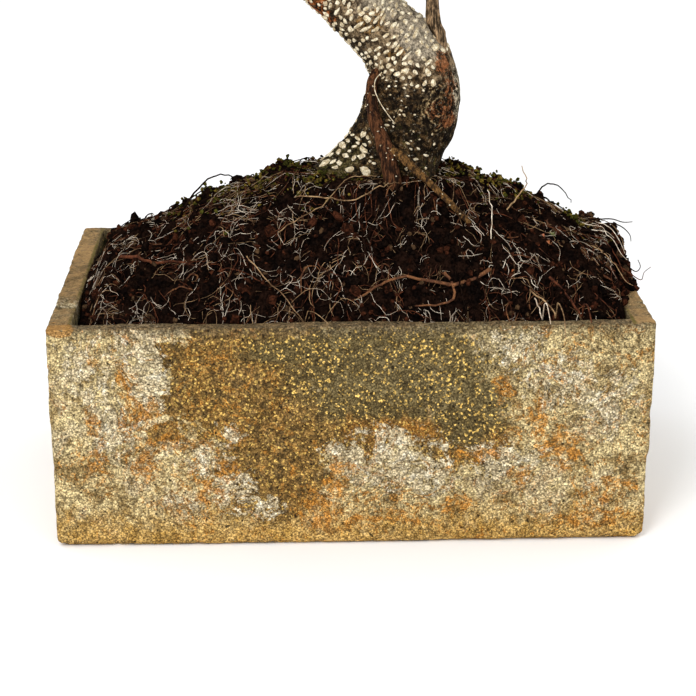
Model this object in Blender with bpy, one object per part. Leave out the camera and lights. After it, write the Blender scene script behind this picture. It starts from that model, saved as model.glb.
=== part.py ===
"""Ficus bonsai with an S-shaped trunk, in a rectangular stoneware pot.

Metres, +Z up. The origin is the middle of the pot's flat underside, +X runs along the
pot's length and +Y towards its back. Every object is one closed solid: the pot, the
soil mound, the trunk, the roots that stand above the soil, one bough for each main
limb and one mass of twigs and leaves at the end of each bough.
"""

import math
import random

import bmesh
import bpy
from mathutils import Vector
from mathutils.bvhtree import BVHTree

MATE_GAP = 0.0003  # clearance between two solids that touch
UP = Vector((0.0, 0.0, 1.0))
GOLDEN_ANGLE = math.pi * (3.0 - math.sqrt(5.0))

# Pot
POT_LENGTH = 0.300
POT_DEPTH = 0.192
POT_HEIGHT = 0.116
END_WALL = 0.0125
LONG_WALL = 0.0085
POT_FLOOR = 0.012
POT_EDGE_ROUND = 0.0025
POT_FOOT_ROUND = 0.0040
DRAIN_RADIUS = 0.009
DRAIN_SPACING = 0.150

# Soil mound
SOIL_TOP = 0.1710  # level seat under the trunk
SOIL_EDGE = POT_HEIGHT - 0.008
RIDGE_ENDS = (0.128, 0.131)  # height of the ridge where it meets the left wall and the right
RIDGE_POWERS = (1.9, 2.8)  # how late the ridge falls away towards the left and the right
MOUND_POWER = 1.9
SOIL_CELLS_X = 22
SOIL_CELLS_Y = 14
SEAT_CENTRE = (0.016, -0.002)
SEAT_HALF = (0.048, 0.031)
SEAT_BLEND = 0.35  # share of the seat's size over which it runs into the mound

# Trunk: heart of the trunk (x, y, z) and its radius, from below the cut to the tip
TRUNK_STATIONS = (
    (0.0215, 0.000, 0.1560, 0.0230),
    (0.0240, 0.000, 0.1720, 0.0228),
    (0.0282, 0.000, 0.1860, 0.0230),
    (0.0334, 0.000, 0.2000, 0.0244),
    (0.0350, 0.000, 0.2140, 0.0245),
    (0.0320, 0.000, 0.2280, 0.0222),
    (0.0240, 0.000, 0.2400, 0.0190),
    (0.0140, 0.000, 0.2498, 0.0174),
    (0.0033, 0.000, 0.2600, 0.0169),
    (-0.0200, 0.003, 0.2810, 0.0162),
    (-0.0420, 0.007, 0.3040, 0.0154),
    (-0.0550, 0.010, 0.3330, 0.0144),
    (-0.0540, 0.008, 0.3640, 0.0132),
    (-0.0380, 0.003, 0.3930, 0.0119),
    (-0.0150, -0.003, 0.4200, 0.0105),
    (0.0020, -0.008, 0.4500, 0.0089),
    (0.0040, -0.011, 0.4840, 0.0066),
    (-0.0010, -0.012, 0.5160, 0.0044),
)
TRUNK_CUT = SOIL_TOP + MATE_GAP
TRUNK_SIDES = 6  # bevel resolution, which gives 16 sides
TRUNK_STEPS = 2  # rings from one station to the next
# Root flare: heading in degrees, reach at the cut, height over which it dies away, half width in degrees
ROOT_FLARES = (
    (182.0, 0.0215, 0.0135, 36.0),
    (118.0, 0.0100, 0.0110, 26.0),
    (62.0, 0.0090, 0.0100, 26.0),
    (-50.0, 0.0060, 0.0080, 24.0),
)

# Roots above the soil: points of the heart line, then radius at the trunk and at the tip
AERIAL_ROOT = (
    (0.0160, -0.008, 0.2400),
    (0.0125, -0.0135, 0.2300),
    (0.0122, -0.0170, 0.2160),
    (0.0135, -0.0205, 0.2040),
    (0.0175, -0.0250, 0.1920),
    (0.0215, -0.0285, 0.1800),
    (0.0235, -0.0300, 0.1650),
)
AERIAL_ROOT_RADII = (0.0031, 0.0040)
GROUND_ROOT = (
    (0.0245, -0.0265, 0.1880),
    (0.0320, -0.0305, 0.1812),
    (0.0419, -0.0335, 0.1717),
    (0.0513, -0.0360, 0.1627),
    (0.0620, -0.0395, 0.1520),
)
GROUND_ROOT_RADII = (0.0030, 0.0019)

# Boughs: share of the trunk's length at which each leaves it, tip, radius at the trunk and at the tip
BOUGHS = {
    "left": (0.50, (-0.118, -0.014, 0.344), 0.0068, 0.0042),
    "back": (0.56, (-0.062, 0.066, 0.378), 0.0062, 0.0038),
    "front_left": (0.66, (-0.074, -0.048, 0.408), 0.0056, 0.0035),
    "right": (0.71, (0.050, 0.013, 0.424), 0.0062, 0.0038),
    "back_right": (0.77, (0.030, 0.060, 0.448), 0.0050, 0.0034),
    "front_right": (0.83, (0.034, -0.052, 0.460), 0.0048, 0.0033),
    "left_high": (0.87, (-0.060, 0.008, 0.484), 0.0046, 0.0032),
}
BOUGH_ARCH = 0.12  # rise of a bough's middle, as a share of its length
SIDE_STEM = (
    (0.0480, 0.000, 0.2120),
    (0.0535, -0.005, 0.2240),
    (0.0490, -0.007, 0.2380),
    (0.0448, -0.007, 0.2510),
    (0.0435, -0.007, 0.2660),
    (0.0440, -0.007, 0.2900),
    (0.0540, -0.008, 0.3140),
    (0.0760, -0.009, 0.3300),
)
SIDE_STEM_RADII = (0.0042, 0.0028)
LIMB_SIDES = 2  # bevel resolution, which gives 8 sides
LIMB_RINGS = 10

# Masses of foliage: the limb that carries each, centre, half size, seed
MASSES = {
    "left": ((-0.158, -0.020, 0.364), (0.070, 0.062, 0.040), 11),
    "back": ((-0.070, 0.098, 0.402), (0.066, 0.056, 0.040), 12),
    "front_left": ((-0.092, -0.088, 0.436), (0.062, 0.054, 0.038), 13),
    "right": ((0.098, 0.028, 0.448), (0.064, 0.058, 0.040), 14),
    "back_right": ((0.042, 0.096, 0.486), (0.062, 0.054, 0.040), 15),
    "front_right": ((0.050, -0.086, 0.478), (0.060, 0.054, 0.038), 16),
    "left_high": ((-0.098, 0.018, 0.514), (0.062, 0.058, 0.040), 17),
    "side_stem": ((0.126, -0.014, 0.360), (0.068, 0.062, 0.040), 18),
    "trunk": ((0.002, -0.008, 0.566), (0.074, 0.068, 0.050), 19),
}
STEM_DROP = 0.10  # how far below the mass's centre its stem ends, as a share of the half height
SHOOTS = 7  # shoots that fan out from a mass's stem
SHOOT_SPREAD = 0.62  # reach of the outermost shoot, as a share of the mass's half size
SHOOT_HEIGHTS = (0.30, -0.12)  # of the innermost shoot's end and the outermost's, in half heights
SHOOT_SAG = 0.10
TWIG_TURN = (48.0, 66.0)  # degrees between a shoot and the twig on its side
TWIG_REACH = (0.40, 0.55)  # length of a twig as a share of its shoot's
UPTURN = 0.20  # how much a side twig rises
STEM_SHARE = 0.80  # radius at the foot of a stem, as a share of its limb's tip
STEM_TIP = 0.0013
SHOOT_RADII = (0.0016, 0.0011)
TWIG_RADII = (0.0013, 0.0010)
LEAF_LENGTH = 0.037
LEAF_WIDTH = 0.0215
LEAF_WIDEST = 0.46  # share of a leaf's length at which it is widest
LEAF_DROOP = 0.10  # how far its tip hangs, as a share of its length
LEAF_CUP = 0.0008  # rise of its two edges
LEAF_THICKNESS = 0.0012
LEAF_SPACING = 0.0015
LEAVES_PER_MASS = 54
LEAF_OVERHANG = 1.10  # reach allowed to leaf tips, in terms of the space for twigs
LEAF_JITTER = 0.20
LIMB_CLEARANCE = 0.0015  # between a leaf and a limb, or the next mass's space
TWIG_CLEARANCE = 0.003
SPACE_MARGIN = 0.0008
BARE_STEM = 0.55  # share of a stem, and of a shoot or twig, that has no leaves
BARE_TWIG = 0.12
TIP_LEAN = 10.0  # degrees between a twig and the leaf at its end
SIDE_LEAN = (40.0, 75.0)  # degrees between a twig and the leaves on its sides
LEAF_FACES = (
    (0, 3, 4), (3, 1, 4), (1, 2, 4), (2, 0, 4),
    (3, 0, 5), (1, 3, 5), (2, 1, 5), (0, 2, 5),
)

COLOURS = {
    "stoneware": ((0.42, 0.32, 0.17, 1.0), 0.85),
    "soil": ((0.045, 0.022, 0.014, 1.0), 0.95),
    "bark": ((0.24, 0.18, 0.11, 1.0), 0.80),
    "root": ((0.20, 0.08, 0.04, 1.0), 0.75),
    "leaf": ((0.045, 0.14, 0.025, 1.0), 0.40),
}


# ---------------------------------------------------------------- helpers


def clear_scene():
    for obj in list(bpy.data.objects):
        bpy.data.objects.remove(obj, do_unlink=True)


def new_collection(name):
    collection = bpy.data.collections.new(name)
    bpy.context.scene.collection.children.link(collection)
    return collection


def material(name):
    """The Principled material of that name, made once."""
    found = bpy.data.materials.get(name)
    if found:
        return found
    colour, roughness = COLOURS[name]
    made = bpy.data.materials.new(name)
    made.use_nodes = True
    made.diffuse_color = colour
    shader = made.node_tree.nodes["Principled BSDF"]
    shader.inputs["Base Color"].default_value = colour
    shader.inputs["Roughness"].default_value = roughness
    shader.inputs["Metallic"].default_value = 0.0
    return made


def link_mesh(name, mesh, collection, finish=None):
    obj = bpy.data.objects.new(name, mesh)
    collection.objects.link(obj)
    if finish:
        mesh.materials.clear()
        mesh.materials.append(material(finish))
    return obj


def as_helper(obj):
    obj.hide_render = True
    obj.display_type = "WIRE"
    return obj


def evaluated_mesh(obj, name):
    """A new mesh holding the object as its modifiers leave it, with its seams welded."""
    bpy.context.view_layer.update()
    graph = bpy.context.evaluated_depsgraph_get()
    mesh = bpy.data.meshes.new_from_object(obj.evaluated_get(graph))
    mesh.name = name
    work = bmesh.new()
    work.from_mesh(mesh)
    bmesh.ops.remove_doubles(work, verts=work.verts, dist=1e-6)
    bmesh.ops.recalc_face_normals(work, faces=work.faces)
    work.to_mesh(mesh)
    work.free()
    return mesh


def smooth_path(points, steps):
    """Catmull-Rom points through the given ones, of any dimension, with steps from one to the next."""
    ends = [points[0], *points, points[-1]]
    made = []
    for i in range(len(points) - 1):
        a, b, c, d = (ends[i + k] for k in range(4))
        for k in range(steps):
            t = k / steps
            made.append(
                tuple(
                    0.5 * (2 * q + (r - p) * t + (2 * p - 5 * q + 4 * r - s) * t * t
                           + (3 * q - p - 3 * r + s) * t ** 3)
                    for p, q, r, s in zip(a, b, c, d)
                )
            )
    made.append(tuple(points[-1]))
    return made


def vectors(points):
    return [Vector(p) for p in points]


def bent_path(start, middle, end, count):
    """Points of the quadratic curve that leaves start towards middle and ends at end."""
    made = []
    for i in range(count):
        t = i / (count - 1)
        made.append(start * (1 - t) ** 2 + middle * (2 * t * (1 - t)) + end * t * t)
    return made


def tube(name, points, radii, resolution, collection, outline=None):
    """A tapering limb as a mesh object: a poly curve with a bevel, filled caps and welded seams.

    With an outline, the section is that curve object instead of a circle.
    """
    curve = bpy.data.curves.new(name, "CURVE")
    curve.dimensions = "3D"
    curve.use_fill_caps = True
    if outline:
        curve.bevel_mode = "OBJECT"
        curve.bevel_object = outline
    else:
        curve.bevel_depth = 1.0
        curve.bevel_resolution = resolution
    spline = curve.splines.new("POLY")
    spline.points.add(len(points) - 1)
    for point, place, radius in zip(spline.points, points, radii):
        point.co = (*place, 1.0)
        point.radius = radius
    holder = bpy.data.objects.new(name, curve)
    collection.objects.link(holder)
    mesh = evaluated_mesh(holder, name)
    mesh.transform(holder.matrix_world)
    bpy.data.objects.remove(holder)
    bpy.data.curves.remove(curve)
    return link_mesh(name, mesh, collection)


def taper(radii, count):
    first, last = radii
    return [first + (last - first) * i / (count - 1) for i in range(count)]


def boolean(obj, operation, operand, solver="EXACT"):
    """Adds a Boolean with an object, or with every object of a collection."""
    modifier = obj.modifiers.new(operation.lower(), "BOOLEAN")
    modifier.operation = operation
    modifier.solver = solver
    if isinstance(operand, bpy.types.Collection):
        modifier.operand_type = "COLLECTION"
        modifier.collection = operand
    else:
        modifier.object = operand
    return modifier


def shade_smooth(obj, degrees=40.0):
    obj.data.shade_smooth()
    obj.data.set_sharp_from_angle(angle=math.radians(degrees))


# ---------------------------------------------------------------- pot and soil


def block(name, size, centre, collection):
    """A cube primitive of that size about that centre, its size already in the mesh."""
    mesh = bpy.data.meshes.new(name)
    work = bmesh.new()
    bmesh.ops.create_cube(work, size=1.0)
    bmesh.ops.scale(work, vec=size, verts=work.verts)
    bmesh.ops.translate(work, vec=centre, verts=work.verts)
    work.to_mesh(mesh)
    work.free()
    return link_mesh(name, mesh, collection)


def round_edges(obj, width, wanted):
    """Bevels the edges for which wanted(end, other end) is true."""
    work = bmesh.new()
    work.from_mesh(obj.data)
    edges = [e for e in work.edges if wanted(e.verts[0].co, e.verts[1].co)]
    bmesh.ops.bevel(work, geom=edges, offset=width, segments=2, profile=0.5, affect="EDGES")
    work.to_mesh(obj.data)
    work.free()


def build_pot(parts, cutters):
    pot = block("pot", (POT_LENGTH, POT_DEPTH, POT_HEIGHT), (0, 0, POT_HEIGHT / 2), parts)
    round_edges(pot, POT_FOOT_ROUND, lambda a, b: max(a.z, b.z) < 1e-6)
    round_edges(pot, POT_EDGE_ROUND, lambda a, b: abs(a.z - b.z) > 0.5 * POT_HEIGHT)
    inside = block(
        "pot_inside",
        (POT_LENGTH - 2 * END_WALL, POT_DEPTH - 2 * LONG_WALL, POT_HEIGHT),
        (0, 0, POT_FLOOR + POT_HEIGHT / 2),
        cutters,
    )
    boolean(pot, "DIFFERENCE", as_helper(inside))
    for side in (-1, 1):
        bpy.ops.mesh.primitive_cylinder_add(
            vertices=20, radius=DRAIN_RADIUS, depth=4 * POT_FLOOR, location=(side * DRAIN_SPACING / 2, 0, 0)
        )
        drain = bpy.context.object
        drain.name = "drain_left" if side < 0 else "drain_right"
        bpy.context.collection.objects.unlink(drain)
        cutters.objects.link(drain)
        boolean(pot, "DIFFERENCE", as_helper(drain))
    pot.data.materials.append(material("stoneware"))
    shade_smooth(pot)
    return pot


def soil_height(x, y):
    """Height of the mound: a ridge that falls to the long walls, with a level seat for the trunk."""
    half_x = POT_LENGTH / 2 - END_WALL
    half_y = POT_DEPTH / 2 - LONG_WALL
    right = x > 0.0
    ridge = SOIL_TOP - (SOIL_TOP - RIDGE_ENDS[right]) * (abs(x) / half_x) ** RIDGE_POWERS[right]
    across = 1.0 - min(1.0, abs(y) / half_y) ** MOUND_POWER
    mound = SOIL_EDGE + (ridge - SOIL_EDGE) * across
    away = math.hypot((x - SEAT_CENTRE[0]) / SEAT_HALF[0], (y - SEAT_CENTRE[1]) / SEAT_HALF[1])
    blend = min(1.0, max(0.0, (away - 1.0) / SEAT_BLEND))
    blend = blend * blend * (3.0 - 2.0 * blend)
    return SOIL_TOP + (mound - SOIL_TOP) * blend


def soil_block(name, lift, collection):
    """The soil: a grid primitive at the mound's height plus lift, closed down to the pot's floor."""
    half_x = POT_LENGTH / 2 - END_WALL - MATE_GAP
    half_y = POT_DEPTH / 2 - LONG_WALL - MATE_GAP
    floor = POT_FLOOR + MATE_GAP
    mesh = bpy.data.meshes.new(name)
    work = bmesh.new()
    bmesh.ops.create_grid(work, x_segments=SOIL_CELLS_X, y_segments=SOIL_CELLS_Y, size=1.0)
    for vert in work.verts:
        vert.co.x *= half_x
        vert.co.y *= half_y
    sheet = list(work.faces)
    bottom = bmesh.ops.extrude_face_region(work, geom=sheet, use_keep_orig=True)
    lower = {item for item in bottom["geom"] if isinstance(item, bmesh.types.BMVert)}
    for vert in work.verts:
        vert.co.z = floor if vert in lower else soil_height(vert.co.x, vert.co.y) + lift
    flat = [face for face in work.faces if all(v in lower for v in face.verts)]
    bmesh.ops.dissolve_faces(work, faces=flat)
    bmesh.ops.recalc_face_normals(work, faces=work.faces)
    bmesh.ops.triangulate(work, faces=[f for f in work.faces if len(f.verts) == 4])
    work.to_mesh(mesh)
    work.free()
    return link_mesh(name, mesh, collection, "soil")


# ---------------------------------------------------------------- trunk, roots and boughs


def trunk_line(steps):
    """Points and radii of the trunk's heart line."""
    path = smooth_path(TRUNK_STATIONS, steps)
    return [Vector(p[:3]) for p in path], [p[3] for p in path]


def flare_push(heading, height):
    """How far the root flare stands out of the round trunk, at a heading and a height above the cut."""
    push = 0.0
    for direction, reach, fade, half_width in ROOT_FLARES:
        turn = (math.degrees(heading) - direction + 180.0) % 360.0 - 180.0
        push += reach * math.exp(-max(0.0, height) / fade) * math.exp(-((turn / half_width) ** 2))
    return push


def trunk_solid(name, grow, collection):
    """The trunk, all its radii larger by grow, with its root flare and a flat cut at the soil."""
    points, radii = trunk_line(TRUNK_STEPS)
    trunk = tube(name, points, [r + grow for r in radii], TRUNK_SIDES, collection)
    foot_x, foot_y = TRUNK_STATIONS[1][:2]
    work = bmesh.new()
    work.from_mesh(trunk.data)
    for vert in work.verts:
        out = Vector((vert.co.x - foot_x, vert.co.y - foot_y, 0.0))
        if vert.co.z < TRUNK_STATIONS[4][2] and out.length > 1e-4:
            vert.co += out.normalized() * flare_push(math.atan2(out.y, out.x), vert.co.z - TRUNK_CUT)
    geometry = [*work.verts, *work.edges, *work.faces]
    cut = bmesh.ops.bisect_plane(
        work, geom=geometry, plane_co=(0, 0, TRUNK_CUT - grow), plane_no=UP, clear_inner=True
    )
    rim = [e for e in cut["geom_cut"] if isinstance(e, bmesh.types.BMEdge)]
    bmesh.ops.contextual_create(work, geom=rim)
    bmesh.ops.recalc_face_normals(work, faces=work.faces)
    work.to_mesh(trunk.data)
    work.free()
    return trunk


def limb(name, path, radii, parts, cutters, finish):
    """A tapering limb, cut back so that it meets what it grows from or lies on without touching it."""
    made = tube(name, path, taper(radii, len(path)), LIMB_SIDES, parts)
    for cutter in cutters:
        boolean(made, "DIFFERENCE", cutter)
    made.data.materials.append(material(finish))
    shade_smooth(made)


def bough_line(share, tip, line):
    """Heart line of a bough, from the trunk's own heart out to its tip, arching a little."""
    start = line[round(share * (len(line) - 1))]
    end = Vector(tip)
    middle = (start + end) / 2 + UP * (BOUGH_ARCH * (end - start).length)
    return bent_path(start, middle, end, LIMB_RINGS)


# ---------------------------------------------------------------- foliage


class Space:
    """Room that one mass may fill: its own ellipsoid, short of its neighbours' and clear of every limb."""

    def __init__(self, name, limbs):
        self.centre = Vector(MASSES[name][0])
        self.half = Vector(MASSES[name][1])
        self.limbs = limbs
        self.walls = []
        for other, (centre, half, _) in MASSES.items():
            if other != name:
                between = Vector(centre) - self.centre
                way = between.normalized()
                mine = self.reach(self.half, way)
                theirs = self.reach(Vector(half), way)
                self.walls.append((way, between.length * mine / (mine + theirs) - SPACE_MARGIN))

    @staticmethod
    def reach(half, way):
        """Distance from an ellipsoid's centre to its skin along a direction."""
        return 1.0 / math.sqrt(sum((way[k] / half[k]) ** 2 for k in range(3)))

    def share(self, point):
        """How far out a point lies: 0 at the mass's centre and 1 at its skin."""
        away = point - self.centre
        return math.sqrt(sum((away[k] / self.half[k]) ** 2 for k in range(3)))

    def holds(self, point, limit, clearance):
        """Whether a point lies within limit of the skin, short of the neighbours and clear of the limbs."""
        away = point - self.centre
        return (
            self.share(point) < limit
            and all(away.dot(way) < wall - clearance for way, wall in self.walls)
            and all((point - heart).length > radius + clearance for heart, radius in self.limbs)
        )


def side_of(direction, around):
    """A unit vector square to direction, turned about it by an angle from level."""
    level = direction.cross(UP)
    if level.length < 1e-3:
        level = Vector((1.0, 0.0, 0.0))
    level.normalize()
    upright = level.cross(direction).normalized()
    return level * math.cos(around) + upright * math.sin(around)


def grow_shoot(rank, stem, space, dice):
    """Points of one shoot: from its place on the stem out to a dome, the first shoots reaching furthest."""
    share = math.sqrt((SHOOTS - rank) / SHOOTS)
    around = rank * GOLDEN_ANGLE + dice.uniform(-0.2, 0.2)
    inner, outer = SHOOT_HEIGHTS
    half = space.half
    out = share * SHOOT_SPREAD
    height = inner + (outer - inner) * share * share
    target = space.centre + Vector(
        (half.x * out * math.cos(around), half.y * out * math.sin(around), half.z * height)
    )
    base = stem[1 + rank] if rank else stem[1].lerp(stem[2], 0.5)
    middle = base.lerp(target, 0.5) - UP * (SHOOT_SAG * (target - base).length)
    return bent_path(base, middle, target, 3)


def grow_side_twig(shoot, side, dice):
    """Points of the twig that leaves a shoot's outer half to one side."""
    along = (shoot[2] - shoot[1]).normalized()
    root = shoot[1].lerp(shoot[2], 0.3)
    turn = side * math.radians(dice.uniform(*TWIG_TURN))
    way = (along * math.cos(turn) + side_of(along, 0.0) * math.sin(turn) + UP * UPTURN).normalized()
    return [root, root + way * ((shoot[2] - shoot[0]).length * dice.uniform(*TWIG_REACH))]


def grow_twigs(name, start, heading, radius, space):
    """Twigs of one mass as (points, radii): a stem, shoots that fan out from it and a twig on each."""
    dice = random.Random(MASSES[name][2])
    low = space.centre - UP * (STEM_DROP * space.half.z)
    stem = bent_path(start, start + heading * (0.5 * (low - start).length), low, SHOOTS + 1)
    found = [(stem, taper((radius * STEM_SHARE, STEM_TIP), len(stem)))]
    for rank in range(SHOOTS):
        shoot = grow_shoot(rank, stem, space, dice)
        if not all(space.holds(p, 1.0, TWIG_CLEARANCE) for p in shoot[1:]):
            continue
        found.append((shoot, taper(SHOOT_RADII, len(shoot))))
        twig = grow_side_twig(shoot, 1 if rank % 2 else -1, dice)
        if space.holds(twig[1], 1.0, TWIG_CLEARANCE):
            found.append((twig, taper(TWIG_RADII, len(twig))))
    return found


def leaf_places(twigs, space, seed):
    """(twig, root, direction, face normal) of every leaf the twigs could carry, the outermost first."""
    dice = random.Random(seed + 100)
    found = []
    for rank, (points, _) in enumerate(twigs):
        length = sum((b - a).length for a, b in zip(points, points[1:]))
        bare = BARE_TWIG if rank else BARE_STEM
        count = max(2, int(length * (1 - bare) / LEAF_SPACING))
        for k in range(count + 1):
            last = k == count
            place = (bare + (1 - bare) * k / count) * (len(points) - 1)
            i = min(int(place), len(points) - 2)
            root = points[i].lerp(points[i + 1], min(place - i, 0.97))
            along = (points[i + 1] - points[i]).normalized()
            lean = math.radians(TIP_LEAN if last else dice.uniform(*SIDE_LEAN))
            way = along * math.cos(lean) + side_of(along, k * GOLDEN_ANGLE + rank) * math.sin(lean)
            way.z *= 0.75
            way.normalize()
            outward = (root - space.centre).normalized()
            jitter = Vector([dice.uniform(-LEAF_JITTER, LEAF_JITTER) for _ in range(3)])
            normal = UP + outward * 0.35 + jitter
            normal -= way * normal.dot(way)
            order = -space.share(root + way * (0.6 * LEAF_LENGTH)) - last + dice.uniform(0.0, 0.3)
            found.append((order, rank, root, way, normal.normalized()))
    found.sort(key=lambda item: item[0])
    return [item[1:] for item in found]


def leaf_points(root, way, normal):
    """The six points of a leaf's solid: base, tip, its two edges, and the crown of each face."""
    across = normal.cross(way)
    wide = root + way * (LEAF_WIDEST * LEAF_LENGTH)
    return [
        root,
        root + way * LEAF_LENGTH - normal * (LEAF_DROOP * LEAF_LENGTH),
        wide + across * (LEAF_WIDTH / 2) + normal * LEAF_CUP,
        wide - across * (LEAF_WIDTH / 2) + normal * LEAF_CUP,
        wide + normal * (LEAF_THICKNESS / 2),
        wide - normal * (LEAF_THICKNESS / 2),
    ]


def leaf_fits(corners, space):
    """Whether a leaf's outline stays in its mass's space and clear of every limb."""
    base, tip, left, right = corners[:4]
    ring = [base, left, tip, right]
    middles = [ring[i].lerp(ring[(i + 1) % 4], 0.5) for i in range(4)]
    return all(space.holds(p, LEAF_OVERHANG, LIMB_CLEARANCE) for p in [tip, left, right, *middles])


def leaf_solid(name, corners, collection):
    """A leaf of eight faces on its six points."""
    mesh = bpy.data.meshes.new(name)
    mesh.from_pydata(corners, [], LEAF_FACES)
    link_mesh(name, mesh, collection)


def tree_of(obj):
    """A search tree over an object's faces."""
    faces = [tuple(polygon.vertices) for polygon in obj.data.polygons]
    return BVHTree.FromPolygons([vert.co for vert in obj.data.vertices], faces)


def connected_bodies(faces):
    """The faces in groups that hang together, the largest group first."""
    waiting, bodies = set(faces), []
    while waiting:
        front = [waiting.pop()]
        body = set(front)
        while front:
            for edge in front.pop().edges:
                if len(edge.link_faces) == 2:
                    met = waiting.intersection(edge.link_faces)
                    waiting -= met
                    body |= met
                    front.extend(met)
        bodies.append(body)
    return sorted(bodies, key=len, reverse=True)


def keep_largest_body(mesh):
    """Drops loose scraps and the walls of sealed hollows, leaving the one outer skin."""
    work = bmesh.new()
    work.from_mesh(mesh)
    bmesh.ops.triangulate(work, faces=work.faces)
    scraps = [face for body in connected_bodies(work.faces)[1:] for face in body]
    bmesh.ops.delete(work, geom=scraps, context="FACES")
    bmesh.ops.recalc_face_normals(work, faces=work.faces)
    work.to_mesh(mesh)
    work.free()


def add_leaves(name, twigs, mass, pieces, space):
    """Leaves on a mass's twigs, each sunk in its own twig and clear of all others; returns their number."""
    taken = [tree_of(mass)] + [tree_of(piece) for piece in pieces.objects]
    kept = 0
    for rank, root, way, normal in leaf_places(twigs, space, MASSES[name][2]):
        corners = leaf_points(root, way, normal)
        shape = BVHTree.FromPolygons([root.lerp(p, 1.04) for p in corners], LEAF_FACES)
        others = (tree for i, tree in enumerate(taken) if i != rank)
        if leaf_fits(corners, space) and not any(shape.overlap(tree) for tree in others):
            leaf_solid(f"leaf_{name}_{kept}", corners, pieces)
            taken.append(shape)
            kept += 1
        if kept == LEAVES_PER_MASS:
            break
    return kept


def build_mass(name, start, heading, radius, limbs, outline, parts):
    """Twigs and leaves of one mass, joined by one union into a single solid."""
    space = Space(name, limbs)
    twigs = grow_twigs(name, start, heading, radius, space)
    pieces = new_collection("pieces_" + name)
    mass = tube("foliage_" + name, *twigs[0], 0, parts, outline)
    for i, (points, radii) in enumerate(twigs[1:]):
        tube(f"twig_{name}_{i}", points, radii, 0, pieces, outline)
    leaves = add_leaves(name, twigs, mass, pieces, space)
    boolean(mass, "UNION", pieces, "MANIFOLD")
    joined = evaluated_mesh(mass, mass.name)
    mass.modifiers.clear()
    mass.data = joined
    for piece in list(pieces.objects):
        bpy.data.objects.remove(piece, do_unlink=True)
    bpy.data.collections.remove(pieces)
    keep_largest_body(mass.data)
    mass.data.materials.clear()
    mass.data.materials.append(material("leaf"))
    print(f"{mass.name}: {len(twigs)} twigs, {leaves} leaves, {len(mass.data.polygons)} triangles")


def three_sided_outline(collection):
    """The curve that gives every twig its three-sided section, of unit radius."""
    curve = bpy.data.curves.new("twig_section", "CURVE")
    curve.dimensions = "2D"
    spline = curve.splines.new("POLY")
    spline.points.add(2)
    spline.use_cyclic_u = True
    for k, point in enumerate(spline.points):
        turn = 2 * math.pi * k / 3
        point.co = (math.cos(turn), math.sin(turn), 0.0, 1.0)
    outline = bpy.data.objects.new("twig_section", curve)
    collection.objects.link(outline)
    return as_helper(outline)


# ---------------------------------------------------------------- assembly


def main():
    clear_scene()
    parts = new_collection("ficus_bonsai")
    cutters = new_collection("cutters")

    build_pot(parts, cutters)
    shade_smooth(soil_block("soil", 0.0, parts))
    soil_cutter = as_helper(soil_block("soil_cutter", 1.6 * MATE_GAP, cutters))

    trunk = trunk_solid("trunk", 0.0, parts)
    trunk.data.materials.append(material("bark"))
    shade_smooth(trunk)
    trunk_cutter = as_helper(trunk_solid("trunk_cutter", MATE_GAP, cutters))
    line, line_radii = trunk_line(TRUNK_STEPS)
    limbs = list(zip(line, line_radii))

    foot = [trunk_cutter, soil_cutter]
    hanging = vectors(smooth_path(AERIAL_ROOT, 2))
    limb("aerial_root", hanging, AERIAL_ROOT_RADII, parts, foot, "root")
    wider = [r + MATE_GAP for r in taper(AERIAL_ROOT_RADII, len(hanging))]
    root_cutter = as_helper(tube("aerial_root_cutter", hanging, wider, LIMB_SIDES, cutters))
    lying = vectors(smooth_path(GROUND_ROOT, 2))
    limb("ground_root", lying, GROUND_ROOT_RADII, parts, [*foot, root_cutter], "root")

    lines = {"side_stem": (vectors(smooth_path(SIDE_STEM, 2)), SIDE_STEM_RADII)}
    for name, (share, tip, thick, thin) in BOUGHS.items():
        lines[name] = (bough_line(share, tip, line), (thick, thin))
    ends = {}
    for name, (path, radii) in lines.items():
        limb(name if name == "side_stem" else "bough_" + name, path, radii, parts, [trunk_cutter], "bark")
        limbs += list(zip(path, taper(radii, len(path))))
        ends[name] = (path[-1], (path[-1] - path[-2]).normalized(), radii[1])
    ends["trunk"] = (line[-1], (line[-1] - line[-2]).normalized(), line_radii[-1])

    outline = three_sided_outline(cutters)
    for name in MASSES:
        tip, heading, radius = ends[name]
        build_mass(name, tip + heading * MATE_GAP, heading, radius, limbs, outline, parts)


main()
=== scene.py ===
"""Looks of a ficus bonsai in a rectangular stoneware pot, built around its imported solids.

Metres, +Z up, in the frame of the solids: the origin is the middle of the pot's underside,
+X runs along the pot and +Y towards its back. One class builds and dresses each sub-assembly.
"""

import logging
import math
from collections.abc import Callable, Iterable, Iterator, Sequence
from dataclasses import astuple, dataclass
from enum import Enum
from functools import partial, reduce
from itertools import combinations

import bpy
import numpy as np
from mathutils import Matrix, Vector
from mathutils.geometry import tessellate_polygon


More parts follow.
